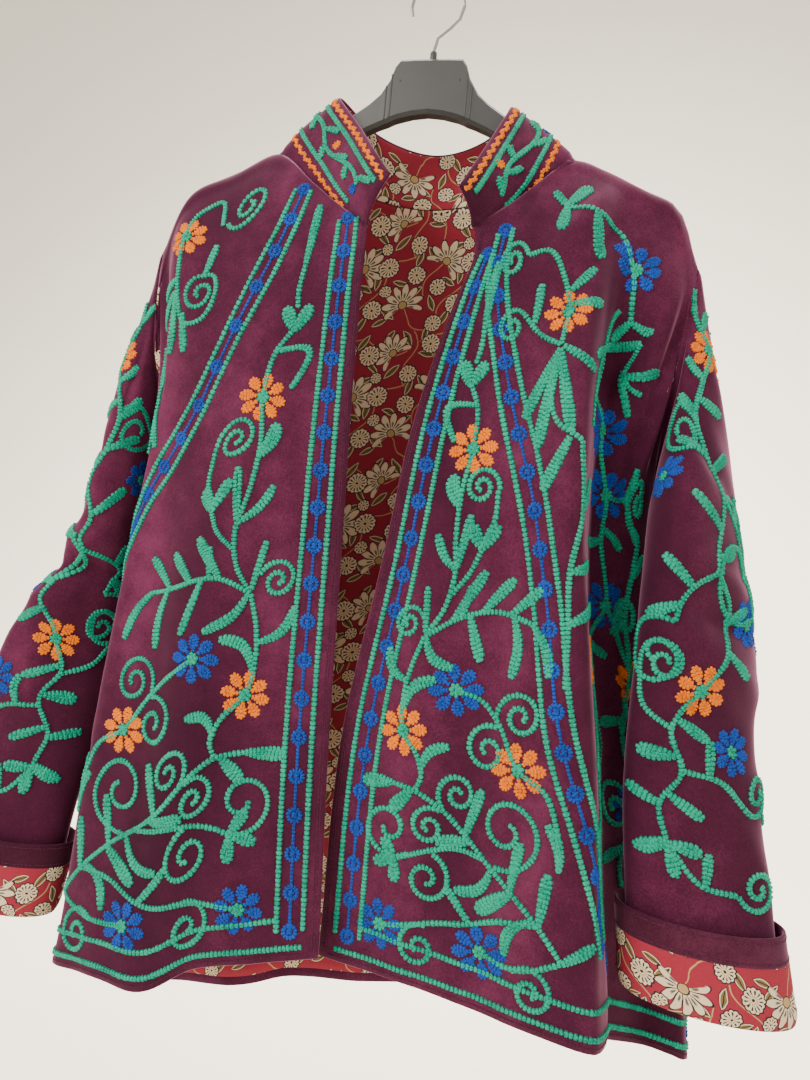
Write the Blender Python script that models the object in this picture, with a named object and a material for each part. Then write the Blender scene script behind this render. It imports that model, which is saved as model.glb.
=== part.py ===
"""An embroidered velvet jacket with a stand collar, open in front, hung on a plastic hanger.

Z is up, the open front faces -Y and the hanger lies in the plane Y = 0. The origin is the
place inside the hook's bend that bears on a rail. Right and left are the wearer's. Sizes in
the tables are millimetres.
"""

import math

import bpy
import numpy as np

MM = 0.001

# Cloth thickness, and the gaps left at seams
VELVET = 2.5
LINING = 1.0
LINING_GAP = 0.4
SEAM_GAP = 0.6
ARMHOLE_GAP = 1.2
LINING_INSET = 2.0
LINING_HEM_INSET = 9.0

# Share of a thread's drop at which each section of the body lies
DROPS = (0.0, 0.006, 0.03, 0.10, 0.25, 0.45, 0.70, 1.0)
ROW_CELLS = (1, 1, 1, 2, 3, 4, 4)

# Threads of the right front, from its front edge round to the side seam.
# name, top height, hem height, x at each section, y at each section
RIGHT_FRONT = (
    ("edge", -238, -846,
     (-35, -34, -33, -32, -29, -24, -18, -8),
     (-48, -50, -52, -57, -62, -68, -73, -78)),
    ("neckline", -189, -858,
     (-97, -94, -90, -84, -80, -76, -72, -62),
     (-20, -26, -34, -50, -63, -72, -79, -83)),
    ("neck_point", -155, -868,
     (-137, -136, -133, -128, -124, -120, -116, -108),
     (0, -6, -16, -36, -56, -70, -80, -88)),
    ("shoulder", -173, -894,
     (-178, -177, -176, -172, -168, -164, -160, -152),
     (0, -6, -15, -32, -50, -63, -77, -93)),
    ("shoulder_end", -194, -900,
     (-220, -219, -217, -212, -207, -204, -206, -209),
     (0, -6, -13, -28, -40, -48, -58, -72)),
    ("armhole_top", -250, -908,
     (-246, -240, -235, -226, -217, -223, -238, -252),
     (0, -6, -12, -23, -33, -38, -45, -56)),
    ("armhole_front", -342, -922,
     (-235, -231, -228, -226, -230, -242, -257, -271),
     (-20, -20, -19, -14, -10, -8, -8, -12)),
    ("side_seam", -440, -956,
     (-226, -225, -223, -224, -232, -244, -259, -269),
     (14, 15, 17, 22, 28, 34, 38, 36)),
)
RIGHT_FRONT_CELLS = (3, 3, 2, 2, 2, 4, 4)

# Threads of the left front; its deep fold stands forward at the crest and turns in behind it
LEFT_FRONT = (
    ("edge", -238, -856,
     (58, 60, 62, 50, 28, 11, -10, -13),
     (-48, -49, -50, -54, -59, -60, -57, -53)),
    ("neckline", -194, -858,
     (100, 98, 96, 88, 78, 68, 58, 62),
     (-22, -28, -36, -50, -64, -70, -70, -66)),
    ("neck_point", -158, -861,
     (134, 133, 131, 127, 124, 122, 124, 134),
     (0, -6, -16, -38, -66, -82, -86, -85)),
    ("crest", -168, -864,
     (163, 163, 163, 163, 163, 167, 190, 212),
     (0, -6, -17, -44, -74, -91, -97, -100)),
    ("turn", -177, -871,
     (182, 182, 180, 177, 172, 173, 197, 221),
     (0, -6, -16, -36, -44, -50, -54, -66)),
    ("valley", -186, -893,
     (201, 200, 198, 190, 179, 179, 204, 229),
     (0, -6, -14, -30, -14, -8, -6, -25)),
    ("shoulder_end", -195, -908,
     (220, 219, 216, 207, 193, 195, 226, 254),
     (0, -6, -12, -27, -16, -2, 9, 4)),
    ("armhole_top", -250, -915,
     (246, 241, 236, 224, 207, 210, 244, 280),
     (0, -4, -9, -22, -16, 0, 14, 11)),
    ("armhole_front", -342, -921,
     (236, 232, 229, 223, 222, 241, 270, 296),
     (-20, -19, -17, -11, -1, 10, 19, 17)),
    ("side_seam", -440, -925,
     (226, 225, 225, 231, 246, 262, 284, 304),
     (12, 14, 16, 20, 24, 28, 30, 28)),
)
LEFT_FRONT_CELLS = (3, 3, 2, 2, 2, 1, 1, 4, 4)

# Threads of the back, from the left side seam to the right one
BACK = (
    ("armhole_left", -345, -928,
     (237, 233, 230, 226, 228, 243, 268, 294),
     (31, 32, 32, 34, 38, 43, 49, 48)),
    ("armhole_top_left", -250, -929,
     (246, 241, 236, 225, 211, 216, 238, 264),
     (0, 5, 12, 30, 42, 49, 57, 62)),
    ("shoulder_end_left", -195, -926,
     (220, 219, 217, 210, 196, 188, 192, 208),
     (0, 6, 14, 33, 46, 52, 55, 52)),
    ("shoulder_left", -168, -927,
     (163, 163, 161, 156, 148, 144, 150, 166),
     (0, 6, 17, 36, 50, 56, 61, 67)),
    ("neck_left", -158, -927,
     (134, 133, 132, 126, 118, 114, 112, 118),
     (0, 6, 18, 40, 54, 58, 54, 52)),
    ("nape_left", -174, -928,
     (72, 72, 71, 69, 64, 60, 58, 60),
     (44, 47, 50, 57, 62, 63, 63, 67)),
    ("nape", -184, -932,
     (0, 0, 0, 0, 0, 0, 0, 0),
     (58, 59, 61, 64, 66, 66, 63, 58)),
    ("nape_right", -172, -944,
     (-74, -74, -73, -70, -66, -62, -62, -66),
     (44, 47, 50, 57, 61, 62, 61, 65)),
    ("neck_right", -155, -958,
     (-137, -136, -135, -130, -122, -118, -120, -128),
     (0, 6, 18, 40, 54, 58, 54, 51)),
    ("shoulder_right", -173, -968,
     (-178, -177, -176, -170, -162, -158, -164, -180),
     (0, 6, 17, 36, 50, 56, 60, 62)),
    ("shoulder_end_right", -194, -970,
     (-220, -219, -217, -211, -202, -198, -206, -226),
     (0, 6, 14, 33, 46, 52, 56, 53)),
    ("armhole_top_right", -250, -967,
     (-246, -241, -236, -226, -214, -214, -232, -252),
     (0, 5, 12, 30, 42, 50, 57, 58)),
    ("armhole_right", -345, -962,
     (-237, -233, -230, -226, -225, -232, -248, -264),
     (32, 33, 33, 36, 42, 48, 55, 54)),
)
BACK_CELLS = (4, 4, 2, 4, 2, 3, 3, 3, 3, 2, 2, 2, 4, 4)
BACK_LINING_COLUMNS = (8, 34)

# Top edge of the collar above the neckline's own points: name, x, y, z
COLLAR_TOP = (
    ("front_left", 48, -75, -217),
    ("chest_left", 62, -38, -165),
    ("side_left", 74, 5, -111),
    ("nape_left", 52, 46, -119),
    ("nape", 0, 62, -128),
    ("nape_right", -55, 46, -117),
    ("side_right", -85, 5, -101),
    ("chest_right", -48, -38, -155),
    ("front_right", -13, -75, -207),
)
COLLAR_CELLS = (3, 3, 3, 3, 3, 3, 3, 3)
COLLAR_ROWS = 3
COLLAR_BULGE = 3.0

# Rings of each sleeve below its armhole.
# name, distance out from the middle, y, height, long half, short half, turn in degrees, slope
LEFT_SLEEVE = (
    ("head", 264, -6, -455, 67, 28, 70, 0.00),
    ("biceps", 267, -17, -512, 64, 29, 58, 0.00),
    ("elbow", 269, -34, -572, 60, 29, 42, 0.00),
    ("forearm", 268, -42, -634, 56, 27, 28, -0.02),
    ("lower", 274, -45, -696, 55, 27, 15, -0.05),
    ("wrist", 283, -47, -759, 56, 27, 8, -0.07),
    ("fold", 296, -48, -832, 61, 27, 4, -0.07),
)
RIGHT_SLEEVE = (
    ("head", 257, 8, -455, 58, 21, 92, 0.00),
    ("biceps", 259, 8, -510, 57, 23, 98, 0.02),
    ("elbow", 270, 4, -562, 57, 25, 114, 0.06),
    ("forearm", 291, -5, -618, 58, 27, 136, 0.08),
    ("lower", 313, -14, -698, 57, 27, 158, 0.08),
    ("wrist", 329, -20, -780, 57, 27, 172, 0.08),
    ("fold", 345, -24, -872, 61, 27, 178, 0.09),
)
SLEEVE_CELLS = (5, 2, 2, 2, 2, 2, 2)

# The turned-back cuff outside the sleeve: how far it stands off and how high each part is
CUFF_STANDOFF = 5.0
CUFF_LINING_HEIGHT = 42.0
CUFF_FACING_HEIGHT = 21.0
CUFF_WALL = 2.2

# Outline of the hanger, the same on both sides of its middle.
# x, top, underside, half thickness
HANGER = (
    (14, -72.0, -122.5, 7.5),
    (28, -72.5, -126.0, 7.5),
    (32, -78.0, -127.5, 7.5),
    (36, -90.0, -129.5, 7.5),
    (44, -103.0, -132.5, 7.2),
    (54, -112.0, -137.0, 7.0),
    (73, -125.0, -147.0, 6.5),
    (86, -136.0, -155.0, 5.0),
    (100, -148.0, -165.0, 4.2),
    (134, -169.0, -184.0, 4.2),
    (163, -178.0, -193.0, 5.0),
    (201, -191.2, -205.0, 5.2),
    (213, -197.0, -209.0, 5.0),
    (218, -201.0, -207.0, 3.0),
)
HANGER_CHAMFER = 3.0
ARM_CHAMFER = 6.5
ARM_START = 90.0

HOOK_WIRE = 3.0
HOOK_INNER_RADIUS = 22.5
HOOK_FOOT = -71.6
HOOK_ARC = (-58, -30, 0, 20, 40, 60, 80, 100, 120, 140, 160, 180, 202)
HOOK_SIDES = 8

VELVET_COLOUR = (0.150, 0.028, 0.072)
FACING_COLOUR = (0.120, 0.022, 0.058)
LINING_COLOUR = (0.420, 0.040, 0.050)
PLASTIC_COLOUR = (0.078, 0.078, 0.084)
STEEL_COLOUR = (0.620, 0.620, 0.640)


def spline(knots, values, at):
    """A smooth curve through the values, read at other places along its knots."""
    knots = np.asarray(knots, float)
    values = np.asarray(values, float)
    steps = np.diff(knots)
    shape = (-1,) + (1,) * (values.ndim - 1)
    slopes = np.diff(values, axis=0) / steps.reshape(shape)
    tangents = np.empty_like(values)
    tangents[0] = slopes[0]
    tangents[-1] = slopes[-1]
    before = steps[:-1].reshape(shape)
    after = steps[1:].reshape(shape)
    tangents[1:-1] = (slopes[:-1] * after + slopes[1:] * before) / (before + after)
    span = np.clip(np.searchsorted(knots, at, side="right") - 1, 0, len(steps) - 1)
    s = ((at - knots[span]) / steps[span]).reshape(shape)
    h = steps[span].reshape(shape)
    return (
        values[span] * (1 + 2 * s) * (1 - s) ** 2
        + tangents[span] * h * s * (1 - s) ** 2
        + values[span + 1] * s * s * (3 - 2 * s)
        + tangents[span + 1] * h * s * s * (s - 1)
    )


def divided(knots, cells):
    """The knots with each span split into its own number of equal cells."""
    parts = [np.linspace(a, b, n, endpoint=False) for a, b, n in zip(knots[:-1], knots[1:], cells)]
    return np.concatenate(parts + [knots[-1:]])


def chord_knots(points):
    """Knots spaced as far apart as neighbouring rows of points are on the whole."""
    lengths = np.linalg.norm(np.diff(points, axis=0), axis=-1)
    if lengths.ndim > 1:
        lengths = lengths.mean(axis=1)
    return np.concatenate([[0.0], np.cumsum(lengths)])


def curve(points, cells):
    points = np.asarray(points, float)
    knots = chord_knots(points)
    return spline(knots, points, divided(knots, cells))


def thread_points(thread):
    """The places of one thread at each section."""
    _, top, hem, xs, ys = thread
    heights = [top + (hem - top) * drop for drop in DROPS]
    return np.column_stack([xs, ys, heights])


def panel(threads, cells, top_edge):
    """A grid of points, columns across and rows down, hung from its own top edge."""
    keys = np.array([thread_points(thread) for thread in threads])
    drops = divided(np.array(DROPS), ROW_CELLS)
    down = spline(DROPS, keys.transpose(1, 0, 2), drops).transpose(1, 0, 2)
    knots = chord_knots(keys)
    grid = spline(knots, down, divided(knots, cells))
    grid[:, 0] = top_edge
    return grid


def top_points(threads):
    return [thread_points(thread)[0] for thread in threads]


def joined(*curves):
    """Curves laid end to end, each sharing its first point with the one before."""
    return np.concatenate([curves[0]] + [piece[1:] for piece in curves[1:]])


def ring(row, side, count):
    """One ring of a sleeve, from the outer side round by the front."""
    _, out, y, z, long_half, short_half, turn, slope = row
    angle = math.radians(turn)
    steps = -angle - 2 * math.pi * np.arange(count) / count
    along = long_half * np.cos(steps)
    across = short_half * np.sin(steps)
    dx = along * math.cos(angle) - across * math.sin(angle)
    dy = along * math.sin(angle) + across * math.cos(angle)
    return np.column_stack([side * (out + dx), y + dy, z + slope * dx])


def sleeve(armhole, rows, side):
    """The sleeve's rings, its first one being the armhole."""
    keys = [armhole] + [ring(row, side, len(armhole)) for row in rows]
    return curve(keys, SLEEVE_CELLS).transpose(1, 0, 2)


def sleeve_halves(tube):
    """The front and the back half of a sleeve, between its outer line and its under-arm line."""
    middle = len(tube) // 2
    return tube[: middle + 1], np.concatenate([tube[middle:], tube[:1]])


def cuff_rings(rows, side, count):
    """Rings of the turned-back cuff from its fold up to its top edge."""
    wrist = rows[-2]
    fold = rows[-1]

    def at(height, more):
        share = height / (wrist[3] - fold[3])
        row = [a + (b - a) * share for a, b in zip(fold[1:], wrist[1:])]
        row[2] = fold[3] + height
        row[3] += more
        row[4] += more
        return ring(("cuff", *row), side, count)

    top = CUFF_LINING_HEIGHT + CUFF_FACING_HEIGHT
    lining = [
        at(-3.2, -1.5),
        at(-3.6, CUFF_STANDOFF - 1.0),
        at(0.0, CUFF_STANDOFF + 0.8),
        at(CUFF_LINING_HEIGHT * 0.5, CUFF_STANDOFF + 2.2),
        at(CUFF_LINING_HEIGHT, CUFF_STANDOFF + 3.0),
    ]
    facing = [
        at(CUFF_LINING_HEIGHT, CUFF_STANDOFF + 3.0),
        at(top - CUFF_FACING_HEIGHT * 0.5, CUFF_STANDOFF + 3.2),
        at(top, CUFF_STANDOFF + 4.0),
    ]
    return np.array(lining).transpose(1, 0, 2), np.array(facing).transpose(1, 0, 2)


def collar(base):
    """The stand collar between the neckline and its own top edge, a little full between them."""
    top = curve([row[1:] for row in COLLAR_TOP], COLLAR_CELLS)
    out = base + (top - base) * 0.5 - np.array([0.0, 5.0, -150.0])
    out[:, 2] = 0.0
    out /= np.linalg.norm(out, axis=1)[:, None]
    rows = []
    for index in range(COLLAR_ROWS + 1):
        share = index / COLLAR_ROWS
        rows.append(base + (top - base) * share + out * COLLAR_BULGE * math.sin(math.pi * share))
    return np.array(rows).transpose(1, 0, 2)


def grid_cells(columns, rows, around):
    """Corner indices of a grid's cells; the last column meets the first when it goes around."""
    faces = []
    for i in range(columns if around else columns - 1):
        j = (i + 1) % columns
        for k in range(rows - 1):
            faces.append((i * rows + k, i * rows + k + 1, j * rows + k + 1, j * rows + k))
    return np.array(faces)


def grid_triangles(grid, around):
    """A grid's cells as triangles, each cell split along its shorter diagonal."""
    cells = grid_cells(grid.shape[0], grid.shape[1], around)
    a, b, c, d = grid.reshape(-1, 3)[cells].transpose(1, 0, 2)
    along = np.linalg.norm(c - a, axis=1) < np.linalg.norm(d - b, axis=1)
    turned = np.where(along[:, None], cells, np.roll(cells, -1, axis=1))
    return np.concatenate([turned[:, (0, 1, 2)], turned[:, (0, 2, 3)]])


def shared_normals(grids):
    """One outward direction for each place, the same for all the cloth that meets there."""
    sums = {}
    for grid, around, sign in grids:
        points = grid.reshape(-1, 3)
        corners = points[grid_cells(grid.shape[0], grid.shape[1], around)]
        normals = np.cross(corners[:, 2] - corners[:, 0], corners[:, 3] - corners[:, 1]) * sign
        for cell, normal in zip(corners, normals):
            unit = normal / np.linalg.norm(normal)
            for corner in cell:
                key = tuple(np.round(corner, 3))
                sums[key] = sums.get(key, 0) + unit
    found = []
    for grid, _, _ in grids:
        flat = np.array([sums[tuple(np.round(point, 3))] for point in grid.reshape(-1, 3)])
        flat /= np.linalg.norm(flat, axis=1)[:, None]
        found.append(flat.reshape(grid.shape))
    return found


def trimmed(grid, edges, amount):
    """The grid with the named edges drawn back along the cloth."""
    moved = grid.copy()
    for edge in edges:
        view = moved.transpose(1, 0, 2) if edge in ("top", "bottom") else moved
        first, second = (-1, -2) if edge in ("bottom", "last") else (0, 1)
        step = view[second] - view[first]
        view[first] += step / np.linalg.norm(step, axis=1)[:, None] * amount
    return moved


def add_mesh(name, points, faces, material):
    mesh = bpy.data.meshes.new(name)
    mesh.from_pydata((np.asarray(points) * MM).tolist(), [], [tuple(map(int, face)) for face in faces])
    mesh.materials.append(material)
    mesh.update()
    body = bpy.data.objects.new(name, mesh)
    bpy.context.scene.collection.objects.link(body)
    return body


def halves(quad, points, count):
    """A cut edge's cell as two triangles, split the same way by both pieces of cloth that meet."""
    first = max((corner for corner in quad if corner < count), key=lambda corner: points[corner][2])
    a, b, c, d = np.roll(quad, -quad.index(first)).tolist()
    return (a, b, c), (a, c, d)


def cloth(name, outer, inner, front, material, around=False, flip=False):
    """A closed wall between an outer and an inner grid of points, both split the same way."""
    columns, rows = outer.shape[:2]
    count = columns * rows
    faces = [tuple(face) for face in front]
    faces += [tuple(face + count)[::-1] for face in front]
    borders = []
    for i in range(columns if around else columns - 1):
        j = (i + 1) % columns
        for k in (0, rows - 1):
            quad = (i * rows + k, j * rows + k, j * rows + k + count, i * rows + k + count)
            borders.append(quad if k == 0 else quad[::-1])
    if not around:
        for k in range(rows - 1):
            for i in (0, columns - 1):
                quad = (i * rows + k, i * rows + k + count, i * rows + k + 1 + count, i * rows + k + 1)
                borders.append(quad if i == 0 else quad[::-1])
    points = np.concatenate([outer.reshape(-1, 3), inner.reshape(-1, 3)])
    faces += [half for quad in borders for half in halves(quad, points, count)]
    if flip:
        faces = [face[::-1] for face in faces]
    return add_mesh(name, points, faces, material)


def hanger_body(material):
    """Arms and neck of the hanger as one bar, its edges cut back."""
    middle = (0, HANGER[0][1], -121.0, HANGER[0][3])
    stations = [(-x, *rest) for x, *rest in reversed(HANGER)] + [middle] + list(HANGER)
    points = []
    for x, top, under, half in stations:
        drop = ARM_CHAMFER if abs(x) > ARM_START else HANGER_CHAMFER
        drop = min(drop, (top - under) * 0.45)
        rise = min(HANGER_CHAMFER, (top - under) * 0.3)
        narrow = max(half - HANGER_CHAMFER, 1.2)
        for y, z in (
            (-narrow, top), (-half, top - drop), (-half, under + rise), (-narrow, under),
            (narrow, under), (half, under + rise), (half, top - drop), (narrow, top),
        ):
            points.append((x, y, z))
    faces = [tuple(range(8))[::-1], tuple(range(len(points) - 8, len(points)))]
    for s in range(len(stations) - 1):
        for k in range(8):
            a = s * 8 + k
            b = s * 8 + (k + 1) % 8
            faces.append((a, b, b + 8, a + 8))
    return add_mesh("hanger_body", points, faces, material)


def hanger_hook(material):
    """The wire hook: straight at its foot, then round its bend, open towards the right side."""
    radius = HOOK_INNER_RADIUS + HOOK_WIRE / 2
    centre = -HOOK_INNER_RADIUS
    path = [(0.0, HOOK_FOOT), (0.0, -62.0), (2.5, -51.5)]
    for degrees in HOOK_ARC:
        angle = math.radians(degrees)
        path.append((radius * math.cos(angle), centre + radius * math.sin(angle)))
    path = np.array(path)
    steps = np.diff(path, axis=0)
    steps /= np.linalg.norm(steps, axis=1)[:, None]
    along = np.concatenate([[[0.0, 1.0]], steps[:-1] + steps[1:], steps[-1:]])
    along /= np.linalg.norm(along, axis=1)[:, None]
    half = HOOK_WIRE / 2
    points = []
    for (x, z), (ax, az) in zip(path, along):
        for k in range(HOOK_SIDES):
            angle = 2 * math.pi * k / HOOK_SIDES
            aside = half * math.cos(angle)
            points.append((x + az * aside, half * math.sin(angle), z - ax * aside))
    last = len(points)
    faces = [tuple(range(HOOK_SIDES))[::-1], tuple(range(last - HOOK_SIDES, last))]
    for s in range(len(path) - 1):
        for k in range(HOOK_SIDES):
            a = s * HOOK_SIDES + k
            b = s * HOOK_SIDES + (k + 1) % HOOK_SIDES
            faces.append((a, b, b + HOOK_SIDES, a + HOOK_SIDES))
    return add_mesh("hanger_hook", points, faces, material)


def material(name, colour, roughness, metallic=0.0):
    made = bpy.data.materials.new(name)
    made.use_nodes = True
    shader = made.node_tree.nodes["Principled BSDF"]
    shader.inputs["Base Color"].default_value = (*colour, 1.0)
    shader.inputs["Roughness"].default_value = roughness
    shader.inputs["Metallic"].default_value = metallic
    return made


def main():
    for leftover in list(bpy.data.objects):
        bpy.data.objects.remove(leftover, do_unlink=True)
    velvet = material("velvet", VELVET_COLOUR, 0.85)
    facing_cloth = material("facing_velvet", FACING_COLOUR, 0.85)
    lining_cloth = material("printed_lining", LINING_COLOUR, 0.80)
    plastic = material("hanger_plastic", PLASTIC_COLOUR, 0.45)
    steel = material("hook_steel", STEEL_COLOUR, 0.25, 1.0)

    # Seam lines, each drawn once and used by all the cloth that meets on it
    left_tops = top_points(LEFT_FRONT)
    right_tops = top_points(RIGHT_FRONT)
    back_tops = top_points(BACK)
    neckline = curve(left_tops[:3] + back_tops[5:8] + right_tops[2::-1], COLLAR_CELLS)
    left_neck = neckline[: sum(LEFT_FRONT_CELLS[:2]) + 1]
    right_neck = neckline[::-1][: sum(RIGHT_FRONT_CELLS[:2]) + 1]
    back_neck = neckline[len(left_neck) - 1 : len(neckline) - len(right_neck) + 1]
    left_shoulder = curve(left_tops[2:8], LEFT_FRONT_CELLS[2:7])
    left_arm_front = curve(left_tops[7:], LEFT_FRONT_CELLS[7:])
    right_shoulder = curve(right_tops[2:6], RIGHT_FRONT_CELLS[2:5])
    right_arm_front = curve(right_tops[5:], RIGHT_FRONT_CELLS[5:])
    left_arm_back = curve([left_tops[-1]] + back_tops[:2], BACK_CELLS[:2])
    right_arm_back = curve(back_tops[11:] + [right_tops[-1]], BACK_CELLS[12:])

    left_top = joined(left_neck, left_shoulder, left_arm_front)
    left_front = panel(LEFT_FRONT, LEFT_FRONT_CELLS, left_top)
    right_top = joined(right_neck, right_shoulder, right_arm_front)
    right_front = panel(RIGHT_FRONT, RIGHT_FRONT_CELLS, right_top)
    back_top = joined(left_arm_back, left_shoulder[::-1], back_neck, right_shoulder, right_arm_back)
    back = panel((LEFT_FRONT[-1],) + BACK + (RIGHT_FRONT[-1],), BACK_CELLS, back_top)
    back[0] = left_front[-1]
    back[-1] = right_front[-1]
    stand = collar(neckline)
    left_sleeve = sleeve(joined(left_arm_front, left_arm_back)[:-1], LEFT_SLEEVE, 1)
    right_sleeve = sleeve(joined(right_arm_front, right_arm_back[::-1])[:-1], RIGHT_SLEEVE, -1)
    left_sleeve_front, left_sleeve_back = sleeve_halves(left_sleeve)
    right_sleeve_front, right_sleeve_back = sleeve_halves(right_sleeve)

    # name, grid, side its cells face, side edges that meet other cloth, gap at the top edge
    shells = (
        ("left_front", left_front, 1, ("last",), SEAM_GAP),
        ("right_front", right_front, -1, ("last",), SEAM_GAP),
        ("back", back, 1, ("first", "last"), SEAM_GAP),
        ("collar", stand, -1, (), SEAM_GAP),
        ("left_sleeve_front", left_sleeve_front, -1, ("first", "last"), ARMHOLE_GAP),
        ("left_sleeve_back", left_sleeve_back, -1, ("first", "last"), ARMHOLE_GAP),
        ("right_sleeve_front", right_sleeve_front, 1, ("first", "last"), ARMHOLE_GAP),
        ("right_sleeve_back", right_sleeve_back, 1, ("first", "last"), ARMHOLE_GAP),
    )
    normals = dict(zip(
        [shell[0] for shell in shells],
        shared_normals([(grid, False, sign) for _, grid, sign, _, _ in shells]),
    ))
    for name, grid, sign, sides, top_gap in shells:
        outer = trimmed(grid, ("top",), top_gap / 2)
        outer = trimmed(outer, sides, SEAM_GAP / 2)
        inner = trimmed(grid - normals[name] * VELVET, ("top",), top_gap / 2)
        inner = trimmed(inner, sides, SEAM_GAP / 2)
        cloth(name, outer, inner, grid_triangles(grid, False), velvet, False, sign < 0)

    near = VELVET + LINING_GAP
    first, last = BACK_LINING_COLUMNS
    covered = (slice(first, last + 1), slice(1, None))
    inside = {
        "back_lining": (back[covered], normals["back"][covered], ("first", "last"), LINING_HEM_INSET, 1),
        "collar_lining": (stand, normals["collar"], ("top", "first", "last"), LINING_INSET, -1),
    }
    for name, (grid, out, edges, bottom_inset, sign) in inside.items():
        outer = trimmed(grid - out * near, edges, LINING_INSET)
        inner = trimmed(grid - out * (near + LINING), edges, LINING_INSET)
        outer = trimmed(outer, ("bottom",), bottom_inset)
        inner = trimmed(inner, ("bottom",), bottom_inset)
        cloth(name, outer, inner, grid_triangles(grid, False), lining_cloth, False, sign < 0)

    for side_name, rows, side, tube in (
        ("left", LEFT_SLEEVE, 1, left_sleeve),
        ("right", RIGHT_SLEEVE, -1, right_sleeve),
    ):
        lining, facing = cuff_rings(rows, side, tube.shape[0])
        joint = (lining, True, side), (facing, True, side)
        lining_out, facing_out = shared_normals(joint)
        for name, grid, out, edges, stuff in (
            (f"{side_name}_cuff", lining, lining_out, ("bottom",), lining_cloth),
            (f"{side_name}_cuff_facing", facing, facing_out, ("top",), facing_cloth),
        ):
            outer = trimmed(grid, edges, SEAM_GAP / 2)
            inner = trimmed(grid - out * CUFF_WALL, edges, SEAM_GAP / 2)
            cloth(name, outer, inner, grid_triangles(grid, True), stuff, True, side < 0)

    hanger_body(plastic)
    hanger_hook(steel)


main()
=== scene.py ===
"""The looks of an embroidered velvet jacket that hangs on a plastic hanger.

The cloth is worked out again from the same threads, rings and seam lines that its solids
have, only finer, and gets its folds, its printed lining and its chain-stitch embroidery.
Z is up, the open front faces -Y, and right and left are the wearer's. Sizes in the tables
are millimetres; Blender's own are metres.
"""

import logging
import math
from collections.abc import Iterable, Sequence
from dataclasses import dataclass, field
from enum import Enum

import bpy
import numpy as np
from mathutils import Matrix, Vector, kdtree, noise


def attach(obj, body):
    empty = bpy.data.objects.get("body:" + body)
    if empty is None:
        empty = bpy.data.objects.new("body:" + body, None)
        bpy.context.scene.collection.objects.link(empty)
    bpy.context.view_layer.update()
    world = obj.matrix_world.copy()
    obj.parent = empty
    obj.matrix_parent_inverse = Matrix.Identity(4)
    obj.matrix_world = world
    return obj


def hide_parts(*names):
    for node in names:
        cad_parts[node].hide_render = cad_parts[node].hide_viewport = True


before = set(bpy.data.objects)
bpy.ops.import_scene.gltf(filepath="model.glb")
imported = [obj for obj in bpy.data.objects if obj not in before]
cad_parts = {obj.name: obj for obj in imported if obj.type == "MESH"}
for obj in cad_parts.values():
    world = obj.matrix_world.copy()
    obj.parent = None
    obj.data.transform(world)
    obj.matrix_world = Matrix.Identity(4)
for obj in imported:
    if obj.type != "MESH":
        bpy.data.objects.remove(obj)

MM = 0.001
BODY = "root"
log = logging.getLogger("jacket")
Points = np.ndarray

# The camera as a photographer set it: where it stands (mm), its turn and its tilt (degrees)
CAMERA_PLACE = (151.4, -714.3, -502.7)
CAMERA_TURN = 10.7
CAMERA_ROLL = 5.5
SENSOR_WIDTH = 36.0
LENS = 27.03

# Cloth thickness and the gaps left at seams
VELVET = 2.5
LINING = 1.0
LINING_GAP = 0.4
LINING_INSET = 2.0
LINING_HEM_INSET = 9.0
SEAM_SINK = 1.6
SEAM_SINK_WIDTH = 4.0

# How many times finer than its solid each piece of cloth is
FINER_ACROSS = 4
FINER_DOWN = 6

# Share of a thread's drop at which each section of the body lies
DROPS = (0.0, 0.006, 0.03, 0.10, 0.25, 0.45, 0.70, 1.0)
FINE_ROW_CELLS = (2, 4, 9, 15, 22, 28, 30)

# Threads of the right front, from its front edge round to the side seam.
# name, top height, hem height, x at each section, y at each section
RIGHT_FRONT = (
    ("edge", -238, -846,
     (-35, -34, -33, -32, -29, -24, -18, -8),
     (-48, -50, -52, -57, -62, -68, -73, -78)),
    ("neckline", -189, -858,
     (-97, -94, -90, -84, -80, -76, -72, -62),
     (-20, -26, -34, -50, -63, -72, -79, -83)),
    ("neck_point", -155, -868,
     (-137, -136, -133, -128, -124, -120, -116, -108),
     (0, -6, -16, -36, -56, -70, -80, -88)),
    ("shoulder", -173, -894,
     (-178, -177, -176, -172, -168, -164, -160, -152),
     (0, -6, -15, -32, -50, -63, -77, -93)),
    ("shoulder_end", -194, -900,
     (-220, -219, -217, -212, -207, -204, -206, -209),
     (0, -6, -13, -28, -40, -48, -58, -72)),
    ("armhole_top", -250, -908,
     (-246, -240, -235, -226, -217, -223, -238, -252),
     (0, -6, -12, -23, -33, -38, -45, -56)),
    ("armhole_front", -342, -922,
     (-235, -231, -228, -226, -230, -242, -257, -271),
     (-20, -20, -19, -14, -10, -8, -8, -12)),
    ("side_seam", -440, -956,
     (-226, -225, -223, -224, -232, -244, -259, -269),
     (14, 15, 17, 22, 28, 34, 38, 36)),
)
RIGHT_FRONT_CELLS = (3, 3, 2, 2, 2, 4, 4)

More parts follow.
